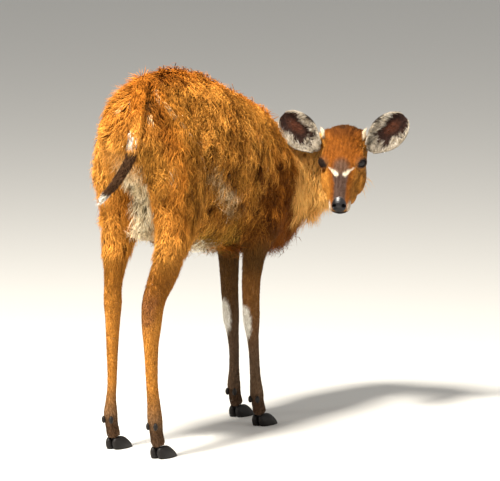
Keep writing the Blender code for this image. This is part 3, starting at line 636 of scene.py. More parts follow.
def paint(points, part="body"):
    """The coat's colour at each place of the body, head, tail or an ear."""
    right, forward, up, head = words(points)
    if part == "head":
        return paint_head(head)
    if part == "ear":
        return paint_ear(head)
    if part in PALE:
        return np.tile(np.array(PALE[part]), (len(points), 1))
    apart, _ = by_leg(points)
    patchy = wobble(points, 0.06, 11)
    own = np.stack([right, forward, up], axis=1)
    if part == "tail":
        return paint_tail(own, patchy)
    colour = np.tile(np.array(ORANGE), (len(points), 1))
    lay(colour, GOLDEN, 0.90 * ramp(-forward, -0.05, 0.03) * (1 - 0.75 * ramp(up, 0.56, 0.63)))
    lay(colour, GOLDEN, 0.60 * fall(up, 0.36, 0.48) * (forward < 0.25))
    lay(colour, TAN, 0.85 * ramp(forward + 0.02 * patchy, 0.02, 0.08) * (np.abs(right) > 0.02))
    shoulder = ramp(forward + 0.04 * patchy, 0.28, 0.38)
    lay(colour, RED_BROWN, 0.85 * shoulder * fall(up, 0.50, 0.58))
    # The low chest is dark red-brown, darkened further as painted shade low on the chest.
    low_chest_and_shade = ramp(forward, 0.34, 0.42) * fall(up + 0.02 * patchy, 0.40, 0.50)
    lay(colour, LOW_CHEST_AND_SHADE, 0.80 * low_chest_and_shade)
    lay(colour, RED_BROWN, 0.45 * ramp(patchy, 0.0, 0.8) * ramp(forward, 0.05, 0.12))
    tufted = wobble(own * (1, 1, 0.55), 0.030, 12)
    side_on = ramp(forward, 0.06, 0.14) * ramp(np.abs(right), 0.03, 0.06)
    # Painted light and shade of the coat's folds, in bands down the flank.
    for start, end, share, fold_shading_colour in FOLD_LIGHT_AND_SHADE:
        fold_shading = fall(near_line(own * (0.4, 1, 1), start, end) + 0.008 * tufted, 0.006, 0.022)
        lay(colour, fold_shading_colour, share * fold_shading)
    lay(colour, GOLDEN, 0.50 * ramp(tufted, 0.15, 0.9) * side_on * (up > 0.46))
    lay(colour, DARK_TUFT, 0.60 * ramp(-tufted, 0.15, 0.9) * side_on)
    lay(colour, RUMP_TOP, 0.70 * ramp(up, 0.650, 0.690) * (forward < 0.20))
    fanned = by_line(own, (0.046, 0.004, 0.660), (0.060, 0.012, 0.590), 0.010, 0.030)
    lay(colour, RED_BROWN, 0.70 * fanned)
    # Painted shade on the back of the thigh, under the rump and tail.
    back_thigh_shade = by_line(own, (0.050, -0.020, 0.560), (0.062, -0.026, 0.440), 0.016, 0.036)
    lay(colour, BACK_THIGH_SHADE, 0.80 * back_thigh_shade)
    # A painted shadow along the tail's edge, where it lies against the rump.
    tail_edge_shadow = np.minimum(
        near_line(own, (0.022, 0.010, 0.676), (0.038, -0.030, 0.630)),
        near_line(own, (0.038, -0.030, 0.630), (0.041, -0.046, 0.575)),
    )
    lay(colour, DARK_BROWN, 0.92 * fall(tail_edge_shadow, 0.004, 0.012))
    # Cream inside the thighs, painted shade of dark olive under the belly and a cream patch before the elbow.
    inner = ramp(right, -0.022, -0.008) * fall(right, 0.022, 0.036) * fall(up, 0.50, 0.58)
    lay(colour, INNER_THIGH, 0.90 * inner * ramp(up, 0.30, 0.34) * (forward < 0.30))
    belly_shade = fall(up + 0.012 * patchy, 0.370, 0.430) * (apart > 1.25) * ramp(forward, 0.06, 0.12)
    lay(colour, BELLY_SHADE_OLIVE, 0.92 * belly_shade * (1 - inner) * fall(forward, 0.40, 0.46))
    elbow = by_line(own, (0.084, 0.170, 0.510), (0.078, 0.265, 0.440), 0.008, 0.028)
    lay(colour, CREAM, 0.75 * elbow * (0.6 + 0.4 * wobble(points, 0.025, 5)))
    paint_legs(colour, points)
    # The neck and throat: the throat's own golden colour, made brighter still as painted sunlight on the neck.
    turned = np.degrees(np.arctan2(forward - NECK_START, NECK_BEND_RADIUS - right))
    on_neck = ramp(turned + 8 * patchy, 14, 34) * (forward > NECK_START) * ramp(up, 0.385, 0.425)
    lay(colour, THROAT_AND_LIGHT, 0.95 * on_neck)
    return np.clip(colour, 0.004, 0.9)


def paint_legs(colour, points):
    """The hind legs are tan and the forelegs brown, all darker towards the feet, with white beside the knees."""
    right, forward, up, _ = words(points)
    apart, leg = by_leg(points)
    on_leg = fall(apart, 1.25, 1.6) * fall(up, 0.33, 0.42)
    hind = leg < 2
    # The forelegs' brown is darkened as painted shade under the chest, less so low on the right foreleg.
    less_shade = (leg == 2) * ramp(0.33 - up, 0, 0.05)
    front = np.array(FORELEG_AND_SHADE) + less_shade[:, None] * np.array(FORELEG_LESS_SHADE)
    tan = np.where(hind[:, None], np.array(HINDLEG), front)
    upper = ramp(up, 0.255, 0.300) * (leg == 0)
    lay(tan, UPPER_HINDLEG, 0.8 * upper)
    colour += (tan - colour) * on_leg[:, None]
    foot = np.where(hind, 0.85 * fall(up, 0.06, 0.15), 0.9 - 0.9 * ramp(up, 0.12, 0.27))
    lay(colour, GREY_BROWN, on_leg * foot)
    lay(colour, DARK_BROWN, 0.8 * on_leg * fall(up, 0.045, 0.075))
    behind = ramp(middle_of("hind_right", up, 1) - forward, 0.006, 0.020)
    hock = behind * fall(np.abs(up - 0.275), 0.012, 0.050) * (0.8 + 0.2 * wobble(points, 0.015, 6))
    lay(colour, HOCK, 0.80 * on_leg * (leg == 0) * hock)
    off_right, off_ahead = (
        place - np.where(leg == 2, middle_of("fore_right", up, k), middle_of("fore_left", up, k))
        for k, place in enumerate((right, forward))
    )
    aside = 0.87 * off_right + 0.48 * off_ahead
    hind_side = 0.48 * off_right - 0.87 * off_ahead
    high_up = np.where(leg == 2, 0.206, 0.200)
    oval = np.hypot((up - high_up) / 0.034, (aside + 0.012) / 0.0125) + 0.10 * wobble(points, 0.008, 7)
    white = fall(oval, 0.75, 1.15) * ramp(hind_side, -0.009, -0.003)
    lay(colour, WHITE, 0.85 * (leg >= 2) * on_leg * white)


def paint_tail(own, patchy):
    right, forward, up = own.T
    colour = np.tile(np.array(ORANGE), (len(own), 1))
    lay(colour, GOLDEN, 0.6 * fall(up, 0.60, 0.66))
    aside = 0.87 * (right - 0.0285) + 0.48 * (forward + 0.059)
    oval = np.hypot(aside / 0.0110, (up - 0.592) / 0.0180)
    fringe = near_line(own, (0.0150, -0.055, 0.590), (0.0080, -0.055, 0.535))
    lay(colour, CREAM, 0.7 * fall(fringe, 0.003, 0.009))
    dark = near_line(own, (0.034, -0.052, 0.572), (-0.014, -0.060, 0.492))
    dark = fall(dark, 0.015, 0.021) * fall(up + 0.006 * patchy, 0.564, 0.576)
    lay(colour, DARK_BROWN, dark)
    lay(colour, WHITE, fall(oval, 0.65, 1.05) * (forward < -0.040))
    middle = np.hypot(aside / 0.0045, (up - 0.592) / 0.009)
    lay(colour, GREY_BROWN, 0.55 * fall(middle, 0.5, 1.0))
    return lay(colour, WHITE, 0.9 * fall(up, 0.480, 0.492))


def paint_head(head):
    mirrored = across_head(head)
    side, front, above = mirrored.T
    face = np.tile(np.array(CHEEK), (len(head), 1))
    lay(face, FOREHEAD, ramp(above + front * 0.25, 0.000, 0.016))
    lay(face, GOLDEN, 0.8 * ramp(-front, 0.02, 0.05) * fall(above, -0.01, 0.01))
    lay(face, CROWN, 0.85 * spot(mirrored, (0, -0.048, 0.030), (0.032, 0.016, 0.016), 0.5))
    lay(face, DARK_BROWN, 0.75 * spot(mirrored, (0, -0.057, 0.034), (0.008, 0.008, 0.010), 0.5))
    grey = spot(mirrored, (0, 0.030, 0.012), (0.015, 0.020, 0.014), 0.45)
    lay(face, FOREHEAD_GREY, 0.8 * grey)
    wide = 0.0105 + 0.0025 * ramp(-front, -0.060, -0.045)
    bridge = fall(side - wide, -0.002, 0.003) * ramp(front, 0.036, 0.046) * (above > -0.014)
    lay(face, BRIDGE, 0.92 * bridge)
    chevron = near_line(mirrored, (0.0255, 0.0200, 0.0055), (0.0078, 0.0430, 0.0098))
    thick = 0.0008 + 0.0030 * ramp(-side, -0.021, -0.008)
    lay(face, CHEVRON, fall(chevron - thick, -0.0009, 0.0014) * (above > -0.015))
    # A dark ring round each eye: dark hair, with painted shade of the brow over the socket.
    around = eye_reach(mirrored - np.array((EYE_SIDE, 0, 0)), 1)
    lay(face, EYE_SHADE, 0.75 * fall(around, 1.3, 2.1))
    lay(face, LID, 0.95 * fall(around, 1.10, 1.40))
    brow = near_line(mirrored, (0.0425, -0.016, 0.008), (0.0420, -0.034, 0.018))
    lay(face, FACE_MARK, 0.8 * fall(brow, 0.0015, 0.0045))
    mark = near_line(mirrored, (0.0440, -0.002, -0.026), (0.0400, 0.014, -0.044))
    lay(face, FACE_MARK, 0.65 * fall(mark, 0.0015, 0.005))
    # A painted shadow where the muzzle's side steps back to the cheek.
    beside = fall(np.abs(side - 0.0175), 0.001, 0.004) * ramp(front, 0.045, 0.06)
    lay(face, RED_BROWN, 0.55 * beside * (above < -0.014))
    lay(face, DARK_BROWN, 0.95 * spot(mirrored, (0, 0.096, -0.040), (0.016, 0.026, 0.014), 0.3))
    lips = spot(mirrored, (0.0184, 0.0960, -0.0215), (0.0052, 0.0125, 0.0105), 0.4)
    chin = spot(mirrored, (0, 0.070, -0.0460), (0.016, 0.020, 0.006), 0.4)
    lay(face, LIPS, 0.9 * np.maximum(lips, chin))
    lay(face, CREAM, 0.6 * ramp(-above, 0.046, 0.058))
    below = ramp(front, 0.080, 0.086) * fall(above, -0.026, -0.021) * fall(side, 0.012, 0.016)
    lay(face, NOSE_BLACK, 0.95 * below)
    return np.clip(lay(face, NOSE_BLACK, nose_pad(head)), 0.004, 0.9)


def eye_reach(off, side):
    """How far a place off the eye's middle is from the opening's middle, with 1 on the opening's edge."""
    look, front, above = (np.array(part) for part in eye_ways[side])
    apart = (off @ front / (LID_OPEN[0] * 0.72)) ** 2 + (off @ above / (LID_OPEN[1] * 0.80)) ** 2
    return np.where(off @ look > 0, np.sqrt(apart) / EYE_RADIUS, 9)


def nose_pad(head):
    """1 on the bare, wet skin of the nose and 0 off it."""
    return spot(across_head(head), (0, 0.0990, -0.0110), (0.0142, 0.0160, 0.0160), 0.10)


def on_ears(head):
    """The nearer ear's side, how far a place is to its tip, and how far across it."""
    side = np.where(head[:, 0] > 0, 1, -1)
    found = []
    for each, (root, along, _, across) in ear_frames.items():
        off = head - np.array(root)
        found.append((off @ np.array(along) / EAR_LENGTH, off @ np.array(across) / EAR_HALF_WIDTH * each))
    return side, np.where(side > 0, found[0][0], found[1][0]), np.where(side > 0, found[0][1], found[1][1])


def paint_ear(head):
    _, way, across = on_ears(head)
    ragged = 0.12 * wobble(head, 0.012, 31)
    colour = np.tile(np.array(EAR_DARK), (len(head), 1))
    flat = np.stack([way, across, 0 * way], axis=1)
    lay(colour, EAR_WARM, 0.25 * spot(flat, (0.62, 0.05, 0), (0.2, 0.3, 1), 0.5))
    grown = 0.80 + 0.20 * wobble(flat * (0.3, 1, 1), 0.22, 32)
    narrower = 0.22 * ramp(way, 0.45, 0.90)
    inner = ramp(across + ragged - narrower, 0.50, 0.64) * fall(way, 0.86, 0.94)
    outer = ramp(-across + ragged, 0.56, 0.70) * fall(way + ragged, 0.56, 0.74)
    lay(colour, EAR_PALE, grown * inner)
    lay(colour, EAR_PALE, grown * outer)
    lay(colour, EAR_PALE, 0.85 * grown * fall(way + ragged, 0.13, 0.25))
    edge = np.abs(across) - np.sqrt(np.clip(1 - np.clip((way - 0.52) / 0.5, 0, 1) ** 2, 0, 1))
    lay(colour, EAR_PALE, ramp(edge, -0.09, -0.04))
    lay(colour, EAR_RIM, ramp(across, 0.93, 0.97) * ramp(way, 0.25, 0.40))
    return colour


# The coat
# Tufts of hair, each a thin closed blade of three sides that tapers to a point. They are rooted in the skin, lie
# along the body one over another, and gather into clumps whose tips come together, as a calf's woolly coat does.
class Coat:
    """Root places on some faces of the skin, drawn evenly, with the skin's normals there."""

    def __init__(self, mesh):
        mesh.calc_loop_triangles()
        corners = np.empty(len(mesh.loop_triangles) * 3, np.int32)
        mesh.loop_triangles.foreach_get("vertices", corners)
        self.corners = corners.reshape(-1, 3)
        self.points = vectors_of(mesh, "co")
        self.normals = vectors_of(mesh, "normal")
        first, second, third = (self.points[self.corners[:, k]] for k in range(3))
        self.area = np.linalg.norm(np.cross(second - first, third - first), axis=1) / 2
        self.middle = (first + second + third) / 3

    def roots(self, per_face, seed):
        """Places and normals, with this many per square metre on each face."""
        rng = np.random.default_rng(seed)
        total = np.cumsum(self.area * per_face)
        count = int(total[-1])
        drawn = (np.arange(count) + rng.random(count)) / count * total[-1]
        face = np.minimum(np.searchsorted(total, drawn), len(total) - 1)
        a, b = np.sort(rng.random((2, count)), axis=0)
        share = np.stack([a, b - a, 1 - b], axis=1)
        place = (self.points[self.corners[face]] * share[:, :, None]).sum(1)
        normal = (self.normals[self.corners[face]] * share[:, :, None]).sum(1)
        return place, normal / np.linalg.norm(normal, axis=1)[:, None]


def lie(points, normals, part="body"):
    """The way the hair lies: back and down on the trunk, down on the neck and legs, back on the face."""
    right, forward, up, head = words(points)
    way = np.tile(np.array(at(0, -0.55, -0.80)), (len(points), 1))
    rump = ramp(-forward, -0.10, 0.0)
    way = way + (np.array((0, 0.30, -0.95)) - way) * rump[:, None]
    fan = np.clip((right - 0.032) / 0.03, -1, 1) * rump * ramp(up, 0.46, 0.60)
    way = way - np.outer(0.75 * fan, (1, 0, 0))
    turned = np.arctan2(forward - NECK_START, NECK_BEND_RADIUS - right)
    on_neck = ramp(turned, 0.0, 0.5) * (forward > NECK_START) * (up > 0.35)
    heading = np.stack([-np.sin(turned), -np.cos(turned), 0 * turned], axis=1)
    way = way + (-0.35 * heading + np.array((0, 0, -0.95)) - way) * on_neck[:, None]
    apart, _ = by_leg(points)
    on_leg = fall(apart, 1.2, 1.6) * fall(up, 0.36, 0.46)
    way = way + (np.array((0, 0.08, -1)) - way) * on_leg[:, None]
    if part == "head":
        parting = 0.35 * np.sign(head[:, 0]) * ramp(np.abs(head[:, 0]), 0, 0.02)
        way = np.stack([parting, -np.ones(len(head)), -0.15 - 0 * up], axis=1) @ HEAD_AXES.T
    way = way + 0.16 * np.stack([wobble(points, 0.09, seed) for seed in (21, 22, 23)], axis=1)
    return tangent(way, normals)


skin_tree = tree_of(skin)


def over_skin(points):
    """The nearest places on the skin and its normals there."""
    found = [skin_tree.find_nearest(point) for point in points]
    return np.array([hit[0] for hit in found]), np.array([hit[1] for hit in found])


# A hair's patch in the unwrap, how far off the skin it may hang free, and the hairs' shapes as rows of the share of
# their length, how high they stand and how wide they are there.
PATCH = 0.003
LOOSE = 0.009
SPIKE = ((0.0, -0.12, 1.0), (1.0, 1.0, 0.0))
STRAIGHT = ((0.0, -0.12, 0.8), (0.48, 0.78, 1.0), (1.0, 1.0, 0.0))
CURLED = ((0.0, -0.12, 0.8), (0.35, 0.65, 1.0), (0.70, 1.0, 0.8), (1.0, 0.92, 0.0))
coats = []


def coat_piece(
    name, place, normal, way, size, unwrap, seed, clumps=0.03, gather=0.38, part="body", tone=(0.42, 1.25),
    shape=STRAIGHT, curl=0.12, turns=0.27, mottle=0.17, streaks=1, relief=0.14,
):
    """Makes one mesh of tufts. size is length, half width and how high the tips stand."""
    rng = np.random.default_rng(seed)
    count = len(place)
    length, wide, lift = (np.broadcast_to(part_size, count) for part_size in size)
    # Clumps: their middles are some of the roots, and each has its own turn, shade and length.
    keep = rng.permutation(count)
    middles = place[keep[: max(8, int(count * clumps))]]
    tree = KDTree(len(middles))
    for number, middle in enumerate(middles):
        tree.insert(middle, number)
    tree.balance()
    clump = np.array([tree.find(point)[1] for point in place])
    yaw = rng.normal(0, turns, len(middles))[clump] + rng.normal(0, turns * 0.8, count)
    shade = np.exp(rng.normal(0, mottle, len(middles)))[clump] * np.exp(rng.normal(0, 0.22, count)) * streaks
    longer = np.exp(rng.normal(0, 0.10, len(middles)))[clump] * np.exp(rng.normal(0, 0.15, count))
    stand = np.clip(1 + rng.normal(0, relief, len(middles))[clump] + rng.normal(0, 0.24, count), 0.35, 1.6)
    stray = rng.random(count) < 0.06
    stand = np.where(stray, stand * 1.4, stand)
    shade = np.where(stray, np.maximum(shade, 1), shade)
    across = np.cross(way, normal)
    way = unit(way * np.cos(yaw)[:, None] + across * np.sin(yaw)[:, None])
    across = np.cross(way, normal)
    to_middle = middles[clump] - place
    to_middle -= way * (to_middle * way).sum(1)[:, None]
    to_middle -= normal * (to_middle * normal).sum(1)[:, None]
    bend = rng.normal(0, curl, count)
    phase = rng.uniform(0, 2 * np.pi, count)
    rings = []
    for share, rise, thin in shape:
        step = place + way * (length * longer * share)[:, None]
        aside = bend * share**2
        if shape is CURLED:
            aside = aside + curl * 0.8 * (np.sin(phase + share * 6.0) - np.sin(phase))
        step += across * (aside * length)[:, None] + to_middle * (gather * share)
        if share:
            # Hair follows the skin, and hangs free where the skin turns away from under it.
            foot, facing = over_skin(step)
            loose = np.linalg.norm(foot - step, axis=1) > LOOSE
            foot[loose] = step[loose]
            facing[loose] = normal[loose]
        else:
            foot, facing = place, normal
        centre = foot + facing * (lift * stand * rise)[:, None]
        side = unit(np.cross(way, facing))
        half = (wide * thin)[:, None]
        if thin:
            rings += [centre + side * half, centre + facing * half * 0.5, centre - side * half]
        else:
            rings.append(centre)
    verts = np.stack(rings, axis=1)
    bands = len(shape) - 2
    tip = 3 * bands + 3
    corners = []
    for ring in range(0, 3 * bands, 3):
        for k in range(3):
            a, b = ring + k, ring + (k + 1) % 3
            corners += [(a, b, b + 3), (a, b + 3, a + 3)]
    corners += [(tip - 3, tip - 2, tip), (tip - 2, tip - 1, tip), (tip - 1, tip - 3, tip), (0, 2, 1)]
    corners = np.array(corners)[:, ::-1]
    faces = (corners[None] + np.arange(count)[:, None, None] * verts.shape[1]).reshape(-1, 3)
    along = np.repeat([row[0] for row in shape], [3] * (bands + 1) + [1])
    # Roots are dark and saturated, tips pale: each colour channel follows the shade with its own power.
    lightness = (tone[0] + (tone[1] - tone[0]) * along**0.7)[None, :, None] * shade[:, None, None]
    colour = paint(place, part)[:, None] * lightness ** np.array((1.0, 1.12, 1.35))
    sideways = np.tile([-0.5, 0, 0.5], bands + 2)[: len(along)] * (along < 1)
    flat = unwrap(place)[:, None] + np.stack([sideways, along - 0.5], axis=1)[None] * PATCH
    coats.append(coat_mesh(name, verts.reshape(-1, 3), faces, colour.reshape(-1, 3), flat.reshape(-1, 2)))


def colour_layer(mesh, colour):
    layer = mesh.attributes.new("Col", "FLOAT_COLOR", "POINT")
    colour = np.concatenate([colour, np.ones((len(colour), 1))], axis=1)
    layer.data.foreach_set("color", colour.astype(np.float32).ravel())


def coat_mesh(name, verts, faces, colour, flat):
    mesh = bpy.data.meshes.new(name)
    mesh.vertices.add(len(verts))
    mesh.vertices.foreach_set("co", verts.astype(np.float32).ravel())
    mesh.loops.add(faces.size)
    mesh.loops.foreach_set("vertex_index", faces.astype(np.int32).ravel())
    mesh.polygons.add(len(faces))
    mesh.polygons.foreach_set("loop_start", np.arange(0, faces.size, 3, dtype=np.int32))
    mesh.polygons.foreach_set("use_smooth", np.ones(len(faces), bool))
    mesh.update()
    colour_layer(mesh, colour / np.maximum(colour.max(axis=1), 0.98)[:, None])
    uv = mesh.uv_layers.new(name="OFBake")
    uv.data.foreach_set("uv", flat[faces.ravel()].astype(np.float32).ravel())
    return in_scene(name, mesh)


def round_axis(axis_from, axis_to, start_way):
    """An unwrap of a part as the angle round its axis and the way along it."""
    a, b = np.array(SHIFT + axis_from), np.array(SHIFT + axis_to)
    along = (b - a) / np.linalg.norm(b - a)
    side = np.array(start_way, float)
    side -= along * (side @ along)
    side /= np.linalg.norm(side)
    other = np.cross(along, side)

    def unwrap(points):
        off = points - a
        angle = np.arctan2(off @ other, off @ side) / (2 * np.pi) + 0.5
        way = np.clip(off @ along / np.linalg.norm(b - a), 0, 1)
        return np.stack([0.01 + 0.98 * angle, 0.01 + 0.98 * way], axis=1)

    return unwrap


def as_dome(middle, pole_way):
    """An unwrap of a rounded end as its angle from a pole, laid flat round that pole."""
    centre = np.array(SHIFT + middle)
    pole = np.array(pole_way, float) / np.linalg.norm(pole_way)
    side = unit(np.cross(pole, (0.3, 0.2, 0.9))[None])[0]
    other = np.cross(pole, side)

    def unwrap(points):
        off = unit(points - centre)
        apart = np.arccos(np.clip(off @ pole, -1, 1)) / np.pi
        angle = np.arctan2(off @ other, off @ side)
        return 0.5 + 0.49 * apart[:, None] * np.stack([np.cos(angle), np.sin(angle)], axis=1)

    return unwrap


coat = Coat(skin.data)
face_right, face_forward, face_up, _ = words(coat.middle)
face_apart, face_leg = by_leg(coat.middle)
is_ear = on_piece(ear_trees[1], coat.middle) | on_piece(ear_trees[-1], coat.middle)
is_tail = on_piece(tail_tree, coat.middle) & ~is_ear
is_head = on_piece(head_tree, coat.middle) & ~is_ear
is_leg = (face_apart < 1.3) & (face_up < 0.37) & ~is_head & ~is_ear & ~is_tail
is_body = ~(is_head | is_ear | is_tail | is_leg)
is_neck = is_body & (face_forward > NECK_START + 0.01) & (face_right > 0.012)
is_trunk = is_body & ~is_neck
FEWER = 1
FEWER_ACROSS = FEWER**0.5
TRUNK_HAIRS = 185000
CURLED_HAIRS = 125000
LEG_HAIRS = 300000
HEAD_HAIRS = 1100000
EAR_HAIRS = 620000
TAIL_HAIRS = 620000
SPANS = {
    "coat_rump": (-1, 0.050),
    "coat_haunch": (0.050, 0.130),
    "coat_loin": (0.130, 0.210),
    "coat_flank": (0.210, 0.290),
    "coat_ribs": (0.290, 0.360),
    "coat_shoulder": (0.360, 0.440),
    "coat_chest": (0.440, 1),
}
CURLED_FROM = 0.130


def between(pair, share):
    return pair[0] + (pair[1] - pair[0]) * share


def coat_on(name, chosen, density, unwrap, seed, length, wide, lift, **more):
    """Tufts on the chosen faces. length, wide and lift are each a value on bare and on full coat."""
    place, normal = coat.roots(chosen * (density * FEWER), seed)
    share = coat_share(place)
    _, forward, up, _ = words(place)
    hanging = fall(up, 0.36, 0.46) * (0.35 + 0.35 * ramp(forward, 0.36, 0.44))
    grow = 1 + hanging * share
    free = 1 - by_ear(place)
    size = (
        between(length, share) * grow * (0.6 + 0.4 * free),
        between(wide, share) / FEWER_ACROSS,
        between(lift, share) * (0.12 + 0.88 * free),
    )
    coat_piece(name, place, normal, lie(place, normal), size, unwrap, seed, **more)


for number, (name, (start, end)) in enumerate(SPANS.items()):
    chosen = is_trunk & (face_forward >= start) & (face_forward < end)
    if name == "coat_rump":
        unwrap = as_dome(at(0, 0.09, 0.54), (0, 1, 0))
    elif name == "coat_chest":
        unwrap = as_dome(at(0, 0.44, 0.46), (0, -1, 0))
    else:
        unwrap = round_axis(at(0, start, 0.52), at(0, end, 0.50), (0, 0, -1))
    if start < CURLED_FROM:
        coat_on(
            name, chosen, TRUNK_HAIRS, unwrap, 100 + number, (0.008, 0.027), (0.0005, 0.00062), (0.002, 0.0095),
            turns=0.32, gather=0.42, mottle=0.20, relief=0.20, tone=(0.34, 1.30),
        )
    else:
        coat_on(
            name, chosen, CURLED_HAIRS, unwrap, 100 + number, (0.008, 0.029), (0.0006, 0.00076), (0.002, 0.0100),
            shape=CURLED, curl=0.24, turns=0.42, gather=0.62, mottle=0.36, relief=0.26, tone=(0.26, 1.40),
        )
# The neck's hair runs paler from root to tip than the trunk's, as painted sunlight on it.
coat_on(
    "coat_neck", is_neck, TRUNK_HAIRS, as_dome(at(0.03, 0.53, 0.47), (0, -1, 0)), 120,
    (0.010, 0.030), (0.0005, 0.00066), (0.002, 0.0100), tone=(0.75, 1.60), relief=0.20,
)
for number, (leg, rows) in enumerate(LEGS.items()):
    unwrap = round_axis(at(*rows[-1][:3]), at(*rows[4][:3]), (0, 1, 0))
    coat_on(
        "coat_" + leg, is_leg & (face_leg == number), LEG_HAIRS, unwrap, 130 + number, (0.0070, 0.028),
        (0.00050, 0.0009), (0.0008, 0.0080), clumps=0.05, tone=(0.78, 1.1), shape=SPIKE, mottle=0.06, gather=0.18,
        turns=0.16,
    )

# The coat of the head
# Short fine hair that lies back from the nose, parts round the eyes and stands up a little on the crown. The nose
# pad and the eyes stay bare.
place, normal = coat.roots(is_head * (HEAD_HAIRS * FEWER), 140)
_, _, _, own = words(place)
eye_gap = np.linalg.norm(across_head(own) - np.array((EYE_SIDE, 0, 0)), axis=1)
kept = (nose_pad(own) < 0.5) & (eye_gap > EYE_RADIUS + 0.0012)
mouth = (np.abs(own[:, 2] + 0.0325) < 0.0018) & (own[:, 1] > 0.062)
kept &= ~mouth
tip = own + 0.005 * (lie(place, normal, "head") @ HEAD_AXES)
for each, (look, front, above) in eye_ways.items():
    off = tip - np.array((each * EYE_SIDE, 0, 0))
    kept &= ~((eye_reach(off, each) < 0.98) & (off @ np.array(look) > 0))
place, normal, own, eye_gap = place[kept], normal[kept], own[kept], eye_gap[kept]
way = lie(place, normal, "head")
eye_off = own - np.stack([EYE_SIDE * np.sign(own[:, 0]), 0 * own[:, 1], 0 * own[:, 2]], axis=1)
push = np.exp(-(((eye_gap - EYE_RADIUS) / 0.006) ** 2))
way = way + 1.6 * push[:, None] * unit(eye_off) @ HEAD_AXES.T
way = tangent(way, normal)
crown = ramp(-own[:, 1], 0.010, 0.055) * ramp(own[:, 2], -0.015, 0.015)
behind = ramp(-own[:, 1], 0.015, 0.060)
length = 0.0056 + 0.0035 * crown + 0.010 * behind * (1 - crown) - 0.0026 * ramp(own[:, 1], 0.04, 0.09)
lift = 0.0008 + 0.0012 * crown + 0.0014 * behind
fine = 0.00036 / FEWER_ACROSS + 0.00035 * behind
head_dome = as_dome(HEAD_MATRIX @ Vector((0, -0.01, -0.015)), HEAD_MATRIX.to_3x3() @ Vector((0, 1, 0)))
for name, chosen in (("coat_face", own[:, 1] > -0.005), ("coat_poll", own[:, 1] <= -0.005)):
    seen = own[chosen]
    streaks = 0.20 * wobble(seen * (1, 0.22, 1), 0.0055, 41) + 0.10 * wobble(seen * (1, 0.3, 1), 0.003, 42)
    coat_piece(
        name, place[chosen], normal[chosen], way[chosen], (length[chosen], fine[chosen], lift[chosen]), head_dome,
        140, clumps=0.05, gather=0.15, part="head", tone=(0.80, 1.10), turns=0.12, mottle=0.07, shape=SPIKE,
        streaks=np.exp(streaks),
    )

# The tail's coat
# Soft hair that runs down the tail, parts to both sides and hides the bone, dark towards the end.
place, normal = coat.roots(is_tail * (TAIL_HAIRS * FEWER), 150)
tail_table = np.array([at(*row[:3]) for row in TAIL])
nearest = np.linalg.norm((place - np.array(SHIFT))[:, None] - tail_table[None], axis=2).argmin(1)
way = unit(tail_table[np.minimum(nearest + 1, len(TAIL) - 1)] - tail_table[np.maximum(nearest - 1, 0)])
way = tangent(way, normal)
unwrap = round_axis(at(*TAIL[0][:3]), at(*TAIL[-1][:3]), (1, 0, 0))
size = (0.014 + 0.008 * ramp(place[:, 2], 0.56, 0.62), 0.00070 / FEWER_ACROSS, 0.0040)
coat_piece("coat_tail", place, normal, way, size, unwrap, 150, part="tail")

# The ears' coat
# Short hair on the backs and the dark inside, and longer cream hair that grows inward from the rims and the root.
place, normal = coat.roots(is_ear * (EAR_HAIRS * FEWER), 160)
_, _, _, own = words(place)
side, reach, across_ear = on_ears(own)
way = np.zeros_like(place)
length = np.full(len(place), 0.0042)
for each, (root, along, cup, across) in ear_frames.items():
    facing = (normal @ HEAD_AXES) @ np.array(cup)
    inner = (facing > 0.05) & (side == each)
    outer = (facing <= 0.05) & (side == each)
    inward = np.array(along)[None] * 0.5 - np.array(across)[None] * each * across_ear[:, None]
    way[inner] = (inward @ HEAD_AXES.T)[inner]
    way[outer] = np.array(along) @ HEAD_AXES.T
    length[inner & ((across_ear > 0.52) | (across_ear < -0.55) | (reach < 0.24))] = 0.0100
way = tangent(way, normal)
unwrap = as_dome(HEAD_MATRIX @ Vector((0, -0.05, 0.01)), HEAD_MATRIX.to_3x3() @ Vector((0, 0.3, 1)))
coat_piece(
    "coat_ears", place, normal, way, (length, 0.00050 / FEWER_ACROSS, 0.0005 + length * 0.13), unwrap, 160,
    clumps=0.05, part="ear", tone=(0.80, 1.1), shape=SPIKE,
)

# The pale strands
# A calf's thin cream stripes are long pale hairs laid over the rest along a line, and a pale tuft stands at the
# inner root of each ear.
STRANDS = (
    # hairs, spread, then the line's places as (right, forward, up)
    (34, 0.0016, (0.0253, 0.0306, 0.6793), (0.0445, 0.0191, 0.6574), (0.0533, 0.0293, 0.6460)),
    (
        44, 0.0022, (0.0533, 0.0293, 0.6460), (0.0632, 0.0375, 0.6312), (0.0746, 0.0504, 0.6142),
        (0.0837, 0.0675, 0.5931),
    ),
    (18, 0.0020, (0.0685, 0.3394, 0.5855), (0.0734, 0.3422, 0.5705)),
    (26, 0.0018, (0.0773, 0.4013, 0.5400), (0.0830, 0.3720, 0.5020), (0.0827, 0.3409, 0.4581)),
    (26, 0.0150, (0.0832, 0.1720, 0.4933), (0.0808, 0.2140, 0.4612), (0.0769, 0.2475, 0.4390)),
    (20, 0.0016, (0.0203, -0.0220, 0.6578), (0.0125, -0.0374, 0.6478), (0.0025, -0.0525, 0.6341)),
    (26, 0.0030, (0.0450, -0.0100, 0.6400), (0.0483, -0.0164, 0.6259)),
    (26, 0.0040, (0.0862, 0.0998, 0.5780), (0.0864, 0.1105, 0.5545), (0.0860, 0.1250, 0.5300)),
    (22, 0.0050, (0.0805, 0.0034, 0.5430), (0.0828, 0.0066, 0.5150)),
)
TUFT_ROOT = (0.0345, -0.0390, 0.0170)
TUFT_TIP = (0.0440, -0.0560, 0.0370)
rng = np.random.default_rng(170)
place, way = [], []
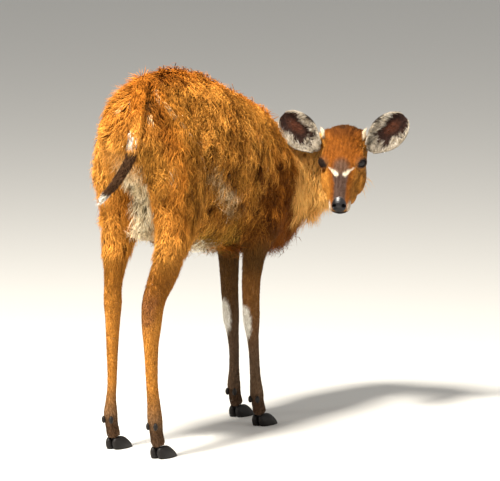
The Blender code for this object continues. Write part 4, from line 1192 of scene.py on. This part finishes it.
for count, spread, *line in STRANDS:
    line = np.array([at(*row) + SHIFT for row in line])
    where = rng.random(int(count * FEWER_ACROSS)) * (len(line) - 1)
    number = where.astype(int)
    step = line[number + 1] - line[number]
    place.append(line[number] + step * (where - number)[:, None] + rng.normal(0, spread, step.shape))
    way.append(step)
place, normal = over_skin(np.concatenate(place))
way = tangent(unit(np.concatenate(way)), normal)
unwrap = round_axis(at(0, 0, 0.52), at(0, 0.5, 0.50), (0, 0, -1))
coat_piece(
    "coat_strands", place, normal, way, (0.022, 0.00062 / FEWER_ACROSS, 0.0095), unwrap, 171, part="strand",
    turns=0.07, gather=0.1, curl=0.05,
)
place, way = [], []
for each in (1, -1):
    root, tip = on_side(each, TUFT_ROOT), on_side(each, TUFT_TIP)
    grown = int(130 * FEWER_ACROSS)
    share = rng.random((grown, 1)) * 0.55
    line = np.array(SHIFT + HEAD_MATRIX @ root) * (1 - share) + np.array(SHIFT + HEAD_MATRIX @ tip) * share
    place.append(line + rng.normal(0, 0.0013, (grown, 3)))
    way.append(np.tile(np.array(HEAD_MATRIX.to_3x3() @ (tip - root)), (grown, 1)))
place, normal = over_skin(np.concatenate(place))
way = unit(np.concatenate(way))
coat_piece(
    "coat_tufts", place, unit(normal + 0.001), way, (0.012, 0.00034 / FEWER_ACROSS, 0.0050), head_dome, 172,
    part="tuft", turns=0.10, gather=0.10, curl=0.02, clumps=0.02,
)


# Materials
# Hair and skin share one colour attribute. Eyes and the nose pad are wet, and the claws are of dull horn.
class Shade:
    """A number of a shader, so that plain arithmetic adds Math nodes."""

    def __init__(self, tree, socket):
        self.tree = tree
        self.socket = socket

    def node(self, kind, inputs, output=0, **settings):
        """Any node, with its inputs by name set to a value or joined to a socket."""
        made = self.tree.nodes.new(kind)
        for word, value in settings.items():
            setattr(made, word, value)
        for word, value in inputs.items():
            value = value.socket if isinstance(value, Shade) else value
            if isinstance(value, bpy.types.NodeSocket):
                self.tree.links.new(made.inputs[word], value)
            else:
                made.inputs[word].default_value = value
        return Shade(self.tree, made.outputs[output])

    def maths(self, operation, other):
        return self.node("ShaderNodeMath", {0: self, 1: other}, operation=operation)

    def __add__(self, other):
        return self.maths("ADD", other)

    def __mul__(self, other):
        return self.maths("MULTIPLY", other)


def new_material(name, roughness, shine, colour=None):
    """A material with its colour set, and the Shade that adds nodes to it."""
    made = bpy.data.materials.new(name)
    made.use_nodes = True
    sockets = made.node_tree.nodes["Principled BSDF"].inputs
    sockets["Roughness"].default_value = roughness
    sockets["Specular IOR Level"].default_value = shine
    if colour:
        sockets["Base Color"].default_value = (*colour, 1)
    return made, Shade(made.node_tree, None)


def join(material, word, value):
    tree = material.node_tree
    tree.links.new(tree.nodes["Principled BSDF"].inputs[word], value.socket)


fur, shade = new_material("fur", 0.62, 0.08)
join(fur, "Base Color", shade.node("ShaderNodeAttribute", {}, attribute_name="Col"))

DRY_ROUGH = 0.75
WET_ROUGH = -0.47
hide, shade = new_material("skin", DRY_ROUGH, 0.3)
colour = shade.node("ShaderNodeAttribute", {}, attribute_name="Col")
wet = shade.node("ShaderNodeAttribute", {}, output=2, attribute_name="Wet")
join(hide, "Base Color", colour)
join(hide, "Roughness", wet * WET_ROUGH + DRY_ROUGH)
place_node = shade.node("ShaderNodeTexCoord", {}, output=3)
grain = shade.node("ShaderNodeTexNoise", {"Vector": place_node, "Scale": 900.0, "Detail": 3.0})
bump = shade.node("ShaderNodeBump", {"Height": grain, "Strength": 0.35, "Distance": 0.0006})
join(hide, "Normal", bump)

points = vectors_of(skin.data, "co")
tone = paint(points)
for part, trees in (("tail", [tail_tree]), ("head", [head_tree]), ("ear", ear_trees.values())):
    for tree in trees:
        mine = on_piece(tree, points)
        tone[mine] = paint(points[mine], part)
# The skin is painted darker the deeper the coat over it, as shade under the hair.
tone *= (0.60 + 0.35 * (1 - coat_share(points)))[:, None]
colour_layer(skin.data, tone)
_, _, _, head_points = words(points)
layer = skin.data.attributes.new("Wet", "FLOAT", "POINT")
layer.data.foreach_set("value", nose_pad(head_points).astype(np.float32))
skin.data.materials.clear()
skin.data.materials.append(hide)
for piece in coats:
    piece.data.materials.append(fur)

# The eyes
# Balls of dark brown glass with a bulging cornea, as a museum sets them, wet and glossy, each under its lids.
CORNEA_ANGLE = math.radians(30)
CORNEA_RISE = 0.0011
EYE_BROWN = (0.008, 0.005, 0.004)
glassy, _ = new_material("eye", 0.12, 0.28, EYE_BROWN)
for side, word in ((1, "right"), (-1, "left")):
    bm = bmesh.new()
    bmesh.ops.create_uvsphere(bm, u_segments=48, v_segments=32, radius=EYE_RADIUS)
    for vert in bm.verts:
        apart = vert.co.angle(eye_ways[side][0]) / CORNEA_ANGLE
        vert.co *= 1 + CORNEA_RISE / EYE_RADIUS * max(1 - apart**2, 0) ** 2
    bmesh.ops.translate(bm, vec=(side * EYE_SIDE, 0, 0), verts=bm.verts)
    bm.transform(Matrix.Translation(SHIFT) @ HEAD_MATRIX)
    eye = to_object(bm, "eyeball_" + word)
    for polygon in eye.data.polygons:
        polygon.use_smooth = True
    eye.data.materials.append(glassy)
    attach(eye, "root")
    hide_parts("eye_" + word)

# The hooves
# Two long claws of dull black horn on each foot, and two small dewclaws behind the fetlock.
CLAW = (
    # ahead, middle height, half width, half height
    (-0.0165, 0.008, 0.0040, 0.0080),
    (-0.010, 0.010, 0.0075, 0.0135),
    (0.003, 0.009, 0.0085, 0.0150),
    (0.016, 0.005, 0.0070, 0.0125),
    (0.028, 0.001, 0.0040, 0.0080),
    (0.035, -0.001, 0.0012, 0.0030),
)
CLAW_SIDE = 0.0090
CLAW_SPREAD = math.radians(9)
DEWCLAW_SIDE = 0.0078
DEWCLAW = (0.0038, 0.0044, 0.0070)
HORN_BLACK = (0.010, 0.008, 0.007)
horn, shade = new_material("horn", 0.5, 0.2, HORN_BLACK)
place_node = shade.node("ShaderNodeTexCoord", {}, output=3)
rings = {"Vector": place_node, "Scale": 90.0, "Distortion": 2.0}
growth = shade.node("ShaderNodeTexWave", rings, bands_direction="Z", output=1)
bump = shade.node("ShaderNodeBump", {"Height": growth, "Strength": 0.25, "Distance": 0.0004})
join(horn, "Normal", bump)
for leg, rows in LEGS.items():
    outer = 1 if leg.endswith("left") else -1
    sole = at(rows[-1][0], rows[-1][1] + 0.006, 0)
    fetlock = rows[-3]
    for word, side in (("outer", outer), ("inner", -outer)):
        bm = bmesh.new()
        tube(bm, [(0, -y, z, wide, high) for y, z, wide, high in CLAW], Vector((1, 0, 0)), steps=4, sides=28)
        bm.transform(Matrix.Rotation(side * CLAW_SPREAD, 4, "Z"))
        bmesh.ops.translate(bm, vec=sole + Vector((side * CLAW_SIDE, 0, 0)) + SHIFT, verts=bm.verts)
        whole = bm.verts[:] + bm.edges[:] + bm.faces[:]
        cut = bmesh.ops.bisect_plane(bm, geom=whole, plane_co=(0, 0, 0), plane_no=(0, 0, -1), clear_outer=True)
        edges = [edge for edge in cut["geom_cut"] if isinstance(edge, bmesh.types.BMEdge)]
        bmesh.ops.contextual_create(bm, geom=edges)
        claw = to_object(bm, f"{leg}_claw_{word}_horn")
        bm = bmesh.new()
        behind = at(fetlock[0], fetlock[1] - 0.0115, fetlock[2] - 0.010)
        ball(bm, behind + Vector((side * DEWCLAW_SIDE, 0, 0)) + SHIFT, DEWCLAW)
        dewclaw = to_object(bm, f"{leg}_dewclaw_{word}_horn")
        for made, node in ((claw, f"{leg}_claw_{word}"), (dewclaw, f"{leg}_dewclaw_{word}")):
            for polygon in made.data.polygons:
                polygon.use_smooth = abs(polygon.normal.z + 1) > 0.01
            made.data.materials.append(horn)
            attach(made, "root")
            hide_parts(node)

FLESH = [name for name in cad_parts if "claw" not in name and not name.startswith("eye")]
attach(skin, "root")
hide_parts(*FLESH)
for piece in coats:
    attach(piece, "root")

# The floor and the light
# A plain pale floor under a soft sky, with one strong light from the upper left, a weak one from the upper right
# and one low at each side, which makes the glints in the eyes.
bm = bmesh.new()
bmesh.ops.create_grid(bm, x_segments=1, y_segments=1, size=30)
floor = to_object(bm, "floor")
pale, _ = new_material("floor", 0.8, 0.5, (0.62, 0.61, 0.58))
floor.data.materials.append(pale)
world = bpy.data.worlds.new("sky")
world.use_nodes = True
sky = world.node_tree.nodes["Background"].inputs
sky["Color"].default_value = (0.94, 0.93, 0.91, 1)
sky["Strength"].default_value = 0.50
bpy.context.scene.world = world
TARGET = at(0.0814, 0.2968, 0.3675) + SHIFT
AZIMUTH = math.radians(209)
ELEVATION = math.radians(7)
back = Vector(
    (math.sin(AZIMUTH) * math.cos(ELEVATION), -math.cos(AZIMUTH) * math.cos(ELEVATION), math.sin(ELEVATION))
)
view_right = Vector((math.cos(AZIMUTH), math.sin(AZIMUTH), 0))
SUN = (1.0, 0.95, 0.87)
CLOUD = (1.0, 0.97, 0.92)
LIGHTS = (
    # name, towards the camera, rightward and upward from the calf, size, power, colour
    ("key", 2.3, -1.6, 3.8, 0.8, 700, SUN),
    ("fill", 1.8, 2.3, 2.2, 1.8, 10, CLOUD),
    ("catch_left", 1.2, -2.8, 0.3, 0.8, 26, CLOUD),
    ("catch_right", 1.3, 2.8, 0.3, 0.8, 14, CLOUD),
)
for name, towards, aside, above, size, power, colour in LIGHTS:
    data = bpy.data.lights.new(name, "AREA")
    data.size = size
    data.energy = power
    data.color = colour
    lamp = in_scene(name, data)
    lamp.location = TARGET + back * towards + view_right * aside + Vector((0, 0, above))
    lamp.rotation_euler = (TARGET - lamp.location).to_track_quat("-Z", "Y").to_euler()

# The camera
# It stands about 9 m off at the calf's right and behind, with a long lens, a little above the back's height.
DISTANCE = 9
LENS = 347
lens = bpy.data.cameras.new("camera")
lens.lens = LENS
lens.sensor_width = 36
lens.clip_end = 200
camera = in_scene("camera", lens)
camera.location = TARGET + back * DISTANCE
camera.rotation_euler = (-back).to_track_quat("-Z", "Y").to_euler()
bpy.context.scene.camera = camera
bpy.context.scene.view_settings.view_transform = "Standard"
